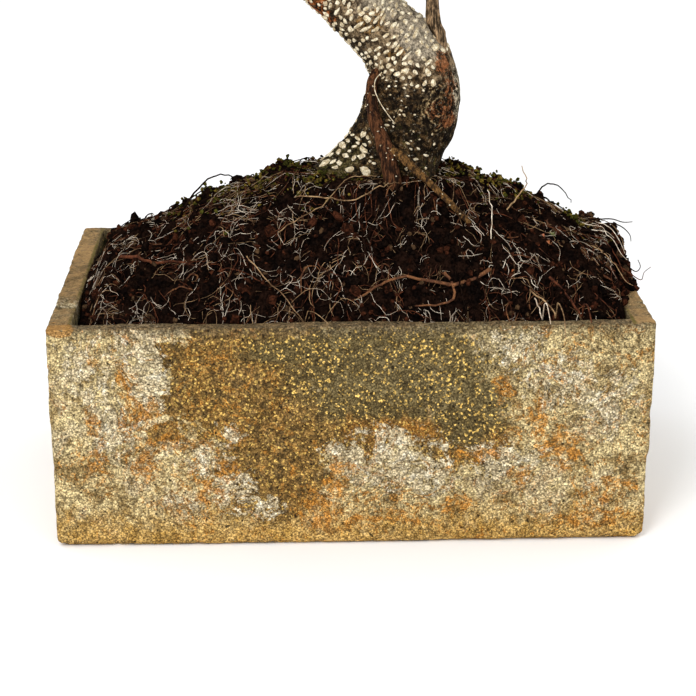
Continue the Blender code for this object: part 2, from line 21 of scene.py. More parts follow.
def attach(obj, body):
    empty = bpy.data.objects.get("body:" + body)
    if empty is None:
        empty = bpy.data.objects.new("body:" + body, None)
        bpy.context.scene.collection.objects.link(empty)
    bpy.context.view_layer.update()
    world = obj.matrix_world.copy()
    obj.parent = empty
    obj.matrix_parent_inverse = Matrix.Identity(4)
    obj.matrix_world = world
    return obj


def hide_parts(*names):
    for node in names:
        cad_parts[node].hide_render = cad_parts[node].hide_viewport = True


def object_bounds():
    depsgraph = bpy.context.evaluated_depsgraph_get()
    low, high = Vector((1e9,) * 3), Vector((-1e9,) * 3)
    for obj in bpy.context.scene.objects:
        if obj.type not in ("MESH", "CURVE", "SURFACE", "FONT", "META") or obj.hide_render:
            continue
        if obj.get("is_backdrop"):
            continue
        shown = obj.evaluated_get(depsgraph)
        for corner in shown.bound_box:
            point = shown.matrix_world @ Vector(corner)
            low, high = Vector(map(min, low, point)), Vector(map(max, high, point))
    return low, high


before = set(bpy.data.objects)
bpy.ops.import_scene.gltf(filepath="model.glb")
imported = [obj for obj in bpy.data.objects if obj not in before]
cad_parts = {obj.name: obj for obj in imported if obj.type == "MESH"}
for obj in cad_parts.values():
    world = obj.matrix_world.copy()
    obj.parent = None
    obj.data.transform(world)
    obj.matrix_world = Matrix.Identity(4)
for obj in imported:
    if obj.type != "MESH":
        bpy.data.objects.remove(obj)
CAD_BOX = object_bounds()

Array = np.ndarray
Triple = tuple[float, float, float]
Pair = tuple[float, float]
Material = bpy.types.Material
Piece = bpy.types.Object
Dice = np.random.Generator
Mesh = tuple[Array, Array]  # Points, and faces as rows of point numbers
Patches = Sequence[tuple[Triple, Triple]]  # Middles and half sizes of coloured patches, in mm
Stains = Sequence[tuple[float, float, float, float]]  # Along the wall, height and their half sizes, in mm

MM = 0.001
ORIGIN = (0.0, 0.0, 0.0)
UP = np.array((0.0, 0.0, 1.0))
FULL_TURN = 2.0 * math.pi
GOLDEN_ANGLE = math.pi * (3.0 - math.sqrt(5.0))
BODY = "root"
LOG = logging.getLogger("ficus_bonsai")


# ---------------------------------------------------------------- noise and curves


def lattice(corner: Array, seed: int) -> Array:
    """Gives each whole-numbered corner of space a repeatable value.

    Args:
        corner: Rows of three whole numbers.
        seed: Which of the endless sets of values to use.

    Returns:
        One value from 0 to 1 for each row.
    """
    x, y, z = (corner[..., k] for k in range(3))
    mixed = (x * 73856093) ^ (y * 19349663) ^ (z * 83492791) ^ (seed * 26544357)
    mixed = ((mixed ^ (mixed >> 13)) * 1274126177) & 0xFFFFFFFF
    mixed = ((mixed ^ (mixed >> 15)) * 2246822519) & 0xFFFFFFFF
    return ((mixed ^ (mixed >> 16)) & 0xFFFFFF) / 0xFFFFFF


def bumps(places: Array, size: float, seed: int = 0) -> Array:
    """Smooth noise over space.

    Args:
        places: Points, as (..., 3).
        size: Width of one lump.
        seed: Which noise to use.

    Returns:
        Values from -1 to 1, one for each point.
    """
    scaled = places / size
    low = np.floor(scaled).astype(np.int64)
    part = scaled - low
    part = part * part * (3.0 - 2.0 * part)
    total = np.zeros(places.shape[:-1])
    for k in range(8):
        bit = np.array((k & 1, (k >> 1) & 1, (k >> 2) & 1))
        total += np.prod(np.where(bit, part, 1.0 - part), axis=-1) * lattice(low + bit, seed)
    return 2.0 * total - 1.0


def rough(places: Array, size: float, octaves: int, seed: int) -> Array:
    """Noise of about -1 to 1 with finer noise on it, each octave half as wide and half as strong."""
    total = sum(bumps(places, size / 2**k, seed + k) / 2**k for k in range(octaves))
    return total / sum(0.5**k for k in range(octaves))


def unit(rows: Array) -> Array:
    """Rows of vectors, each scaled to length one."""
    return rows / np.maximum(np.linalg.norm(rows, axis=-1, keepdims=True), 1e-12)


def step(value: Array, low: float, high: float) -> Array:
    """Rises smoothly from 0 to 1 as value goes from low to high."""
    share = np.clip((value - low) / (high - low), 0.0, 1.0)
    return share * share * (3.0 - 2.0 * share)


def hill(*shares: Array) -> Array:
    """1 in the middle of a round hill, less with the distances from it, as shares of its half width."""
    return np.exp(-sum(share**2 for share in shares))


def smooth_path(points: Sequence[Sequence[float]], steps: int) -> Array:
    """A Catmull-Rom line through points given in millimetres, of any dimension.

    Args:
        points: The points it passes through.
        steps: How many pieces each stretch is cut into.

    Returns:
        The points of the line in metres, as rows.
    """
    given = np.array(points, float)
    ends = np.vstack([given[:1], given, given[-1:]])
    made = []
    for a, b, c, d in zip(ends, ends[1:], ends[2:], ends[3:]):
        for t in (k / steps for k in range(steps)):
            bend = (2 * a - 5 * b + 4 * c - d) * t * t + (3 * b - a - 3 * c + d) * t**3
            made.append(0.5 * (2 * b + (c - a) * t + bend))
    return MM * np.array([*made, given[-1]])


def bent_path(start: Array, middle: Array, end: Array, count: int) -> Array:
    """Points of the quadratic curve that leaves start towards middle and ends at end."""
    t = np.linspace(0.0, 1.0, count)[:, None]
    return start * (1 - t) ** 2 + middle * (2 * t * (1 - t)) + end * t * t


# ---------------------------------------------------------------- meshes


def grid_faces(rows: int, columns: int, closed: bool) -> Array:
    """Four-cornered faces between the points of a grid.

    Args:
        rows: Rows of points.
        columns: Points in a row.
        closed: Whether the last column joins the first.

    Returns:
        Rows of four point numbers.
    """
    index = np.arange(rows * columns).reshape(rows, columns)
    ahead = np.roll(index, -1, axis=1)
    if not closed:
        index, ahead = index[:, :-1], ahead[:, :-1]
    return np.stack([index[:-1], ahead[:-1], ahead[1:], index[1:]], axis=-1).reshape(-1, 4)


def repeated(faces: Array, count: int, points: int) -> Array:
    """The faces of one small mesh, repeated for many that have as many points each."""
    return (faces[None] + (np.arange(count) * points)[:, None, None]).reshape(-1, faces.shape[1])


def tubes(paths: Array, radii: Array, sides: int) -> Mesh:
    """Round tubes along many paths that have the same number of points.

    Args:
        paths: Heart lines, as (tubes, points, 3).
        radii: Radius at each point, as (tubes, points).
        sides: Faces round each tube.

    Returns:
        The tubes' points and faces.
    """
    count, steps = paths.shape[:2]
    along = unit(np.gradient(paths, axis=1))
    side = np.cross(along[:, 0], (0.31, 0.27, 0.91))
    ring = (np.arange(sides) * (FULL_TURN / sides))[None, :, None]
    rows = []
    for k in range(steps):
        way = along[:, k]
        side = unit(side - way * np.sum(side * way, axis=1, keepdims=True))
        spokes = side[:, None] * np.cos(ring) + np.cross(way, side)[:, None] * np.sin(ring)
        rows.append(paths[:, k, None] + spokes * radii[:, k, None, None])
    faces = repeated(grid_faces(steps, sides, closed=True), count, steps * sides)
    return np.stack(rows, axis=1).reshape(-1, 3), faces


def make_piece(
    name: str, parts: Iterable[tuple], finishes: Sequence[Material], smooth: bool = True
) -> Piece:
    """Joins meshes into one object.

    Args:
        name: The object's name.
        parts: Points, faces and, where it isn't 0, the finish number of each mesh or of each of its faces.
        finishes: The materials, in the order of their numbers.
        smooth: Whether the faces are shaded smooth.

    Returns:
        The object, linked to the scene.
    """
    points, corners, sizes, numbers, count = [], [], [], [], 0
    for part_points, faces, *number in parts:
        points.append(part_points.reshape(-1, 3))
        corners.append((faces + count).ravel())
        sizes.append(np.full(len(faces), faces.shape[1]))
        numbers.append(np.broadcast_to(number[0] if number else 0, len(faces)))
        count += len(points[-1])
    corner, size = np.concatenate(corners).astype(np.int32), np.concatenate(sizes)
    mesh = bpy.data.meshes.new(name)
    mesh.vertices.add(count)
    mesh.vertices.foreach_set("co", np.concatenate(points).astype(np.float32).ravel())
    mesh.loops.add(len(corner))
    mesh.loops.foreach_set("vertex_index", corner)
    mesh.polygons.add(len(size))
    mesh.polygons.foreach_set("loop_start", (np.cumsum(size) - size).astype(np.int32))
    mesh.polygons.foreach_set("material_index", np.concatenate(numbers).astype(np.int32))
    mesh.polygons.foreach_set("use_smooth", np.full(len(size), smooth))
    mesh.update(calc_edges=True)
    mesh.validate()
    for finish in finishes:
        mesh.materials.append(finish)
    piece = bpy.data.objects.new(name, mesh)
    bpy.context.scene.collection.objects.link(piece)
    return piece


def dress(piece: Piece, nodes: Sequence[str] = ()) -> None:
    """Hangs a piece on the part, hides the solids that it replaces and logs its triangles.

    Args:
        piece: The new piece.
        nodes: The solids that it replaces, if any.
    """
    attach(piece, BODY)
    if nodes:
        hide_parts(*nodes)
    triangles = sum(len(face.vertices) - 2 for face in piece.data.polygons)
    LOG.info("%s: %d triangles", piece.name, triangles)


# ---------------------------------------------------------------- finishes


@dataclass(frozen=True)
class Term:
    """A value in the node tree of a finish; sums on it are written with the usual signs."""

    graph: "Graph"
    socket: bpy.types.NodeSocket

    def __add__(self, other: "Term | float") -> "Term":
        """Both values added."""
        return self.graph.math("ADD", self, other)

    def __sub__(self, other: "Term | float") -> "Term":
        """The other value taken from this one."""
        return self.graph.math("SUBTRACT", self, other)

    def __rsub__(self, other: float) -> "Term":
        """This value taken from a number."""
        return self.graph.math("SUBTRACT", other, self)

    def __mul__(self, other: "Term | float") -> "Term":
        """Both values multiplied."""
        return self.graph.math("MULTIPLY", self, other)

    def __abs__(self) -> "Term":
        """The value without its sign."""
        return self.graph.math("ABSOLUTE", self)

    def band(self, low: float, high: float) -> "Term":
        """Rises smoothly from 0 to 1 as the value goes from low to high."""
        given = {"Value": self, "From Min": low, "From Max": high}
        return self.graph.add("MapRange", given, interpolation_type="SMOOTHSTEP")

    def axis(self, name: str) -> "Term":
        """One of a vector's coordinates: X, Y or Z."""
        return self.graph.add("SeparateXYZ", {0: self}, name)


class Graph:
    """The node tree of one finish, with a short method for each kind of node it uses."""

    def __init__(self, name: str, roughness: float, gloss: float) -> None:
        """Starts a material.

        Args:
            name: The material's name.
            roughness: How matt it is, from 0 to 1.
            gloss: Specular level.
        """
        self.material = bpy.data.materials.new(name)
        self.material.use_nodes = True
        self.tree = self.material.node_tree
        self.shader = self.tree.nodes["Principled BSDF"]
        self.shader.inputs["Roughness"].default_value = roughness
        self.shader.inputs["Specular IOR Level"].default_value = gloss
        self.place = self.add("TexCoord", output="Object")
        self.colour: Term | None = None

    def add(self, kind: str, inputs: dict | None = None, output: int | str = 0, **settings: object) -> Term:
        """Adds a node.

        Args:
            kind: Blender's name for it, after ShaderNode.
            inputs: A number, a vector or a term for each of its inputs that is set.
            output: Which of its outputs is wanted.
            settings: Its own settings.

        Returns:
            That output.
        """
        node = self.tree.nodes.new("ShaderNode" + kind)
        for key, value in settings.items():
            setattr(node, key, value)
        for key, value in (inputs or {}).items():
            if isinstance(value, Term):
                self.tree.links.new(value.socket, node.inputs[key])
            else:
                node.inputs[key].default_value = value
        return Term(self, node.outputs[output])

    def math(self, operation: str, a: Term | float, b: Term | float = 0.0) -> Term:
        """One sum on two numbers, kept from 0 to 1 where it is named with _CLAMP."""
        kind = operation.removesuffix("_CLAMP")
        return self.add("Math", {0: a, 1: b}, operation=kind, use_clamp=kind != operation)

    def most(self, *values: Term) -> Term:
        """The largest of the values."""
        return reduce(partial(self.math, "MAXIMUM"), values)

    def mix(self, share: Term | float, a: Term | Triple, b: Term | Triple, way: str = "MIX") -> Term:
        """A colour between two, or one laid on the other in another way.

        Args:
            share: How much of b.
            a: The colour below.
            b: The colour on top.
            way: Blender's name for how they mix.

        Returns:
            The mixed colour.
        """
        a, b = ((*c, 1.0) if isinstance(c, tuple) else c for c in (a, b))
        return self.add("Mix", {0: share, 6: a, 7: b}, 2, data_type="RGBA", blend_type=way)

    def paint(self, tint: Term | Triple, mask: Term | float, share: float = 1.0, way: str = "MIX") -> None:
        """Lays a tint over the colour so far where the mask is 1, as strongly as share says."""
        self.colour = self.mix(mask if share == 1.0 else mask * share, self.colour, tint, way)

    def noise(
        self, size: float, detail: float = 3.0, strength: float = 0.55, place: Term | None = None
    ) -> Term:
        """Noise of about 0.5.

        Args:
            size: Width of its widest lumps.
            detail: How many finer layers it has.
            strength: How strong each finer layer is.
            place: Where it is read, if not at the point itself.

        Returns:
            The noise as a number.
        """
        given = {"Vector": place or self.place, "Scale": 1.0 / size, "Detail": detail, "Roughness": strength}
        return self.add("TexNoise", given, "Fac")

    def veins(self, outer: float, inner: float, noise: Term) -> Term:
        """Thin lines where the noise passes 0.5: 1 where it is nearer than inner, 0 beyond outer."""
        return abs(noise - 0.5).band(outer, inner)

    def cells(self, size: float, place: Term) -> tuple[Term, Term]:
        """Scattered cells: the distance from the nearest cell's heart, and that cell's random colour."""
        far = self.add("TexVoronoi", {"Vector": place, "Scale": 1.0 / size}, "Distance")
        return far, Term(self, far.socket.node.outputs["Color"])

    def vector(self, operation: str, a: Term, b: Term | Triple = ORIGIN, output: str = "Vector") -> Term:
        """One sum on two vectors."""
        return self.add("VectorMath", {0: a, 1: b}, output, operation=operation)

    def ragged(self, size: float, reach: float, place: Term | None = None) -> Term:
        """The place pushed about by noise, so that what is drawn with it has a ragged outline.

        Args:
            size: Width of the noise's lumps.
            reach: How far a point is pushed at most.
            place: The place to start from, if not the point itself.

        Returns:
            The pushed place.
        """
        given = {"Vector": self.place, "Scale": 1.0 / size, "Detail": 2.0}
        centred = self.vector("SUBTRACT", self.add("TexNoise", given, "Color"), (0.5, 0.5, 0.5))
        push = self.add("VectorMath", {0: centred, 3: 4.0 * reach}, operation="SCALE")
        return self.vector("ADD", place or self.place, push)

    def zone(self, patches: Patches, place: Term, flecks: Term, share: float, soft: float = 0.07) -> Term:
        """Patches whose edges break up into flecks and islands.

        Args:
            patches: The patches.
            place: The point, or a ragged version of it.
            flecks: Noise of about 0.5 that breaks the edges.
            share: How strongly the noise breaks them.
            soft: How softly each fleck ends.

        Returns:
            1 inside the patches and 0 outside.
        """
        nearest: Term | float = 9.0
        for centre, half in patches:
            start = tuple(-MM * c / (MM * h) for c, h in zip(centre, half))
            given = {0: place, 1: tuple(1.0 / (MM * h) for h in half), 2: start}
            spread = self.add("VectorMath", given, operation="MULTIPLY_ADD")
            nearest = self.math("MINIMUM", self.vector("LENGTH", spread, output="Value"), nearest)
        return (nearest - (flecks - 0.5) * share).band(1.0 + soft, 1.0 - soft)

    def bump(self, height: Term, depth: float, strength: float) -> None:
        """Roughens the surface, on top of any bump it has.

        Args:
            height: The height, from 0 to 1.
            depth: How far 1 stands out.
            strength: How strongly the light follows it.
        """
        given = {"Height": height, "Distance": depth, "Strength": strength}
        before = self.shader.inputs["Normal"]
        if before.is_linked:
            given["Normal"] = Term(self, before.links[0].from_socket)
        self.tree.links.new(self.add("Bump", given).socket, before)

    def finish(self, roughness: Term | None = None) -> Material:
        """Links the colour and, if it varies, the roughness.

        Args:
            roughness: The varying roughness.

        Returns:
            The material.
        """
        for term, name in ((self.colour, "Base Color"), (roughness, "Roughness")):
            if term:
                self.tree.links.new(term.socket, self.shader.inputs[name])
        return self.material


@dataclass(frozen=True)
class Stoneware:
    """Weathered stoneware: sand, pale crust, ochre, rust and an olive field full of yellow grains."""

    sand: Triple = (0.635, 0.51, 0.272)
    sand_dark: Triple = (0.29, 0.202, 0.085)
    crust: Triple = (0.65, 0.552, 0.372)
    flake: Triple = (0.78, 0.72, 0.57)
    ochre: Triple = (0.275, 0.155, 0.042)
    ochre_dark: Triple = (0.112, 0.064, 0.019)
    olive: Triple = (0.13, 0.098, 0.042)
    grain: Triple = (0.88, 0.58, 0.16)
    rust: Triple = (0.51, 0.215, 0.034)
    foot: Triple = (0.52, 0.3, 0.068)
    rim: Triple = (0.27, 0.18, 0.092)
    rim_tan: Triple = (0.43, 0.265, 0.112)
    rim_moss: Triple = (0.1, 0.092, 0.02)
    rim_strip: Triple = (0.115, 0.09, 0.055)
    wall_grey: Triple = (0.23, 0.215, 0.19)
    orange: Triple = (0.44, 0.225, 0.065)
    soot: Triple = (0.012, 0.009, 0.006)
    moss: Triple = (0.02, 0.022, 0.01)
    half_length: float = 0.15
    half_depth: float = 0.096
    ochre_stains: Stains = (
        (-51, 92, 41, 38), (-90, 105, 8, 8), (-89, 80, 9, 10), (-93, 60, 8, 6), (-38, 42, 25, 32),
        (-5, 66, 40, 16), (52, 56, 24, 16),
    )
    olive_stains: Stains = ((18, 92, 52, 29), (57, 70, 22, 20), (-28, 104, 26, 10))
    crust_stains: Stains = (
        (-104, 103, 10, 15), (-101, 84, 8, 12), (22, 53, 20, 9), (30, 40, 15, 9), (3, 43, 10, 7),
        (-8, 52, 7, 4), (14, 36, 9, 6), (-72, 47, 12, 8), (-60, 32, 9, 9), (-48, 20, 12, 7),
        (-120, 62, 11, 12), (-132, 96, 12, 14), (80, 104, 16, 9), (104, 88, 16, 12), (78, 44, 18, 9),
        (34, 34, 18, 9), (128, 74, 11, 16), (-128, 78, 8, 7), (-58, 62, 6, 4), (-84, 22, 8, 5),
    )
    rust_stains: Stains = (
        (-112, 86, 5, 13), (-104, 72, 9, 7), (-131, 66, 4, 7), (-124, 48, 5, 10), (-16, 22, 13, 10),
        (-8, 38, 6, 8), (92, 70, 5, 10), (102, 50, 10, 12), (84, 36, 6, 5), (-101, 44, 6, 11),
        (-80, 55, 14, 4), (-62, 43, 7, 5), (122, 14, 17, 6), (62, 47, 16, 3.5), (16, 12, 16, 4),
        (-125, 97, 5, 4), (74, 84, 4, 7), (-70, 30, 5, 9), (132, 30, 8, 7), (52, 20, 9, 5),
    )
    corner_patches: Patches = (((-145, -92, 116), (13, 9, 1.7)),)
    strip_patches: Patches = (((-138, -66, 103), (4, 25, 6.5)),)

    @staticmethod
    def patches(stains: Stains) -> Patches:
        """The stains as patches that reach through the wall."""
        return [((u, 0, z), (half_u, 1000, half_z)) for u, z, half_u, half_z in stains]

    def unrolled(self, g: Graph) -> Term:
        """The place along the walls and its height; stains run on round the corners, mirrored.

        Args:
            g: The pot's graph.

        Returns:
            The place, with 0 for Y.
        """
        x, y = g.place.axis("X"), g.place.axis("Y")
        on_end = g.math("GREATER_THAN", abs(x) - (self.half_length - self.half_depth), abs(y))
        along_end = g.math("SIGN", x) * (y + (self.half_length + self.half_depth))
        on_back = g.math("GREATER_THAN", y, 0.0) * (1.0 - on_end)
        back = (2 * self.half_depth + 2 * self.half_length) - x
        run = x + on_end * (along_end - x)
        run = run + on_back * (back - run)
        folded = g.math("PINGPONG", run + self.half_length, 2 * self.half_length)
        return g.add("CombineXYZ", {0: folded - self.half_length, 2: g.place.axis("Z")})

    def material(self) -> Material:
        """Mixes the finish.

        Returns:
            The pot's material.
        """
        g = Graph("stoneware", 0.9, 0.06)
        wide = g.ragged(0.03, 0.005)
        place = g.ragged(0.009, 0.0024, wide)
        wall = g.ragged(0.009, 0.0024, g.ragged(0.03, 0.005, self.unrolled(g)))
        flecks = g.noise(0.0062, 8.0, 0.74)
        medium = g.noise(0.0046, 4.0, 0.66, wide)
        broad = g.noise(0.036, 6.0, 0.66)
        height = g.place.axis("Z")

        # Sand, with a veil of crust and a rusty foot
        g.colour = g.mix(g.noise(0.012, 8.0, 0.74).band(0.44, 0.6), self.sand, self.sand_dark)
        g.paint(self.crust, g.noise(0.022, 8.0, 0.72, place).band(0.52, 0.59), 0.55)
        g.paint(self.foot, (height + (flecks - 0.5) * 0.05).band(0.026, 0.004), 0.75)

        # Ochre and olive fields, with a rusty edge below
        ochre = g.zone(self.patches(self.ochre_stains), wall, flecks, 1.9)
        g.paint(g.mix(medium.band(0.4, 0.6), self.ochre_dark, self.ochre), ochre, 0.94)
        olive = g.zone(self.patches(self.olive_stains), wall, flecks, 1.2, 0.3)
        g.paint(self.olive, olive, 0.93)
        edge = olive * (1.0 - olive) * 4.0 * broad.band(0.45, 0.58) * height.band(0.085, 0.06)
        g.paint(self.rust, edge, 0.6)

        # Flakes of crust, then rust in patches, specks and veins
        crust = g.zone(self.patches(self.crust_stains), wall, g.noise(0.0052, 7.0, 0.74, wide), 5.2)
        crust = crust * g.noise(0.0064, 6.0, 0.72, place).band(0.565, 0.525)
        g.paint(self.crust, crust, 0.8)
        g.paint(self.flake, crust * medium.band(0.53, 0.6), 0.75)
        off_olive = 1.0 - olive
        rust = g.zone(self.patches(self.rust_stains), wall, g.noise(0.005, 8.0, 0.8, wide), 4.6)
        scattered = g.noise(0.011, 8.0, 0.78, place).band(0.58, 0.615)
        rust = g.most(rust, scattered * off_olive * 0.8)
        veins = g.veins(0.026, 0.01, g.noise(0.019, 5.0, 0.62, place)) * g.noise(0.026).band(0.49, 0.56)
        thin = g.veins(0.02, 0.007, g.noise(0.01, 5.0, 0.7, wide))
        thin = thin * g.noise(0.031, place=wide).band(0.47, 0.56)
        rust = g.most(rust, g.most(veins, thin) * off_olive * 0.95)
        rust = rust * g.noise(0.0042, 7.0, 0.8, place).band(0.42, 0.52)
        g.paint(g.mix(medium.band(0.36, 0.54), self.ochre, self.rust), rust, 0.86)

        # Yellow grains in the dark fields
        far, speck = g.cells(0.0019, g.ragged(0.002, 0.0007))
        lit = (far - (speck.axis("Y") * 0.26 + 0.15)).band(0.07, -0.03)
        field_share = g.math("ADD_CLAMP", olive, ochre * 0.75)
        grains = lit * speck.axis("X").band(0.04, 0.16) * field_share * (1.0 - g.most(crust, rust))
        g.paint(self.grain, grains, 0.85)

        # The rim and the inner walls
        top = height.band(0.115, 0.1158)
        drift = (height + (medium - 0.5) * 0.01).band(0.1085, 0.115)
        g.paint(self.rim_strip, drift * (1.0 - crust), 0.66)
        g.paint(g.mix(medium.band(0.35, 0.65), self.rim, self.rim_strip), top, 0.85)
        ends = g.vector("ABSOLUTE", g.place)
        out = ends.axis("X")
        end_rim = top * out.band(0.137, 0.1385)
        g.paint(g.mix(flecks.band(0.48, 0.64), self.rim_tan, self.rim), end_rim, 0.9)
        g.paint(self.rim_moss, end_rim * out.band(0.1404, 0.139), 0.8)
        g.paint(self.orange, g.zone(self.corner_patches, place, flecks, 1.0), 0.75)
        inside = out.band(0.1385, 0.1378) * ends.axis("Y").band(0.0885, 0.0878)
        g.paint(self.moss, inside * (height - medium * 0.006).band(0.1085, 0.106), 0.9)
        g.paint(self.wall_grey, inside * g.zone(self.strip_patches, place, flecks, 0.5), 0.85)

        # Grit of many tones, gaps between the grains, pits, dark dots and cracks
        grain_share = 1.0 - end_rim * 0.76
        far, grit = g.cells(0.0009, g.ragged(1.6 * 0.0009, 0.22 * 0.0009))
        tone, gaps = grit.axis("X"), far.band(0.52, 0.7)
        patchy = g.noise(0.0034, 5.0, 0.78).band(0.38, 0.62)
        g.paint(g.mix(patchy, (0.68, 0.65, 0.6), (1.26, 1.26, 1.24)), grain_share, way="MULTIPLY")
        g.paint(g.mix(tone, (0.56, 0.54, 0.51), (1.44, 1.44, 1.42)), grain_share, way="MULTIPLY")
        g.paint(self.soot, gaps * grain_share, 0.55)
        far, hole = g.cells(0.005, wide)
        pits = far.band(0.16, 0.1) * hole.axis("X").band(0.45, 0.5)
        smudges = g.noise(0.007, 5.0, 0.75, place).band(0.655, 0.69)
        far, dot = g.cells(0.0031, g.ragged(0.0025, 0.0007))
        dots = far.band(0.2, 0.12) * dot.axis("Z").band(0.4, 0.45)
        cracks = g.veins(0.011, 0.003, g.noise(0.0058, 5.0, 0.74, wide)) * broad.band(0.46, 0.56) * 0.55
        pits = g.most(pits, smudges * 0.8, dots * 0.8, cracks)
        g.paint(self.soot, pits, 0.85)

        g.bump(g.noise(0.01, 6.0, 0.7), 0.0012, 0.7)
        g.bump(tone * 0.5 + grains * 0.4 - gaps, 0.0005, 0.8)
        g.bump(crust * 0.7 - pits, 0.0006, 0.8)
        return g.finish((tone + crust).band(-1.6, 0.6))


@dataclass(frozen=True)
class Speckled:
    """A matt natural surface: two colours in lumps, with fine light and dark grain."""

    name: str
    first: Triple
    second: Triple
    size: float = 0.004
    grain: float = 0.0009
    contrast: float = 0.6
    roughness: float = 1.0
    gloss: float = 0.0
    depth: float = 0.0003
    upright: float = 1.0

    def material(self) -> Material:
        """Mixes the finish.

        Returns:
            The material.
        """
        g = Graph(self.name, self.roughness, self.gloss)
        stretched = g.vector("MULTIPLY", g.place, (1.0, 1.0, self.upright))
        g.colour = g.mix(g.noise(self.size, 5.0, 0.68, stretched).band(0.42, 0.58), self.first, self.second)
        fine = g.noise(self.grain, 3.0, 0.7, stretched)
        dark, light = (tuple([1.0 + k * self.contrast] * 3) for k in (-1, 1))
        g.paint(g.mix(fine.band(0.32, 0.68), dark, light), 1.0, way="MULTIPLY")
        g.bump(fine, self.depth, 0.7)
        return g.finish()


@dataclass(frozen=True)
class Bark:
    """Ficus bark: grey skin above, rust and scars in their places, dark, cracked and mossy near the soil,
    with painted shade on its underside and painted shade and highlights in the folds round the scar.
    """

    skin: Triple = (0.245, 0.172, 0.098)
    skin_dark: Triple = (0.04, 0.025, 0.014)
    smooth: Triple = (0.38, 0.325, 0.245)
    earthy_and_shade: Triple = (0.005, 0.0034, 0.0024)
    earthy_pale: Triple = (0.08, 0.045, 0.018)
    rust: Triple = (0.33, 0.105, 0.03)
    amber: Triple = (0.25, 0.135, 0.042)
    scar: Triple = (0.25, 0.09, 0.034)
    cream: Triple = (0.5, 0.43, 0.31)
    amber_pale_and_highlight: Triple = (0.4, 0.29, 0.15)
    olive: Triple = (0.08, 0.062, 0.024)
    moss: Triple = (0.046, 0.042, 0.011)
    soot: Triple = (0.005, 0.0035, 0.0025)
    swirl: Triple = (0.0455, -0.021, 0.2085)
    smooth_patches: Patches = (
        ((37, -10, 244), (13, 22, 13)), ((20, -6, 262), (16, 20, 12)),
        ((-44, 0, 330), (12, 16, 26)), ((4, 16, 258), (16, 10, 20)),
        ((-24, 0, 290), (12, 14, 9)), ((-30, 4, 390), (14, 12, 16)),
    )
    rust_patches: Patches = (
        ((-19, -8, 266), (13, 12, 10)), ((-12, -2, 254), (9, 14, 5)),
        ((-60, 4, 300), (9, 12, 14)), ((-30, -6, 404), (9, 10, 9)), ((0, 15, 250), (9, 8, 8)),
    )
    amber_patches: Patches = (
        ((12, -16, 252), (7, 6, 6)), ((25, -19, 236), (5, 5, 4)),
        ((-48, -6, 340), (7, 7, 9)), ((-20, 14, 282), (8, 6, 7)),
    )
    scar_patches: Patches = (
        ((48, -14, 228), (3.5, 8, 9)), ((53, -13, 215), (4, 9, 10)),
        ((50, -16, 204), (6, 8, 7)), ((45, -21, 208), (5, 6, 5)), ((43, 14, 232), (7, 7, 9)),
    )
    cream_patches: Patches = (((60, -5, 216), (6, 14, 18)), ((38, 18, 222), (9, 6, 12)))
    olive_patches: Patches = (((-4, -8, 180), (13, 14, 12)), ((8, 18, 184), (14, 10, 10)))

    def material(self) -> Material:
        """Mixes the finish.

        Returns:
            The material of the trunk.
        """
        g = Graph("bark", 0.9, 0.03)
        place = g.ragged(0.007, 0.0022)
        height = g.place.axis("Z")
        fine = g.noise(0.0012, 3.0, 0.7)
        medium = g.noise(0.0046, 6.0, 0.7)
        flecks = g.noise(0.0036, 7.0, 0.74)
        streaks = g.noise(0.003, 6.0, 0.74, g.vector("MULTIPLY", place, (1.0, 1.0, 0.38)))

        # Grey skin above, earthy bark with olive and moss below, and painted shade on the underside
        g.colour = g.mix(medium.band(0.43, 0.59), self.skin_dark, self.skin)
        g.paint(self.smooth, g.zone(self.smooth_patches, place, medium, 1.5, 0.35), 0.76)
        slope = height + g.place.axis("X") * 0.22
        low = (slope + (medium - 0.5) * 0.045).band(0.238, 0.222)
        g.paint(g.mix(flecks.band(0.47, 0.6), self.earthy_and_shade, self.earthy_pale), low, 0.93)
        olive = g.zone(self.olive_patches, place, flecks, 1.6)
        g.paint(g.mix(medium.band(0.42, 0.56), self.soot, self.olive), olive, 0.8)
        damp = (height + g.noise(0.006, 4.0) * 0.02).band(0.236, 0.18)
        g.paint(self.moss, damp * g.noise(0.0034, 6.0, 0.76).band(0.55, 0.61), 0.7)
        # Painted shade: faces that look down are darkened towards the earthy brown, as if in the trunk's own
        # shade
        down_shade_facing = g.add("NewGeometry", output="Normal").axis("Z")
        g.paint(self.earthy_and_shade, (down_shade_facing + medium * 0.5).band(0.22, -0.38), 0.72)

        # Patches of their own colours, streaked dark and pale
        for patches, tint, share in (
            (self.rust_patches, self.rust, 0.9), (self.amber_patches, self.amber, 0.75),
            (self.scar_patches, self.scar, 0.85), (self.cream_patches, self.cream, 0.9),
        ):
            tinted = g.mix(streaks.band(0.45, 0.55), self.earthy_and_shade, tint)
            tinted = g.mix(streaks.band(0.6, 0.67) * 0.7, tinted, self.cream)
            g.paint(tinted, g.zone(patches, place, flecks, 2.4) * share)

        # The folds round the scar: painted shade in their troughs and painted highlights on their crests
        away = g.vector("SUBTRACT", g.ragged(0.009, 0.0014), self.swirl)
        away = g.vector("LENGTH", g.vector("DIVIDE", away, (0.9, 1.0, 1.25)), output="Value")
        fold_shade_wave = g.math("SINE", away * 2900.0 + medium * 16.0)
        open_side = g.place.axis("X").band(0.052, 0.046)
        near = open_side * away.band(0.0125, 0.0075) * away.band(0.0012, 0.003)
        # Painted shade in the soot colour in the troughs, and painted highlights in pale amber on the crests
        g.paint(self.soot, fold_shade_wave.band(0.2, -0.6) * near, 0.7)
        g.paint(self.amber_pale_and_highlight, fold_shade_wave.band(0.45, 0.95) * near * flecks.band(0.44, 0.54), 0.7)

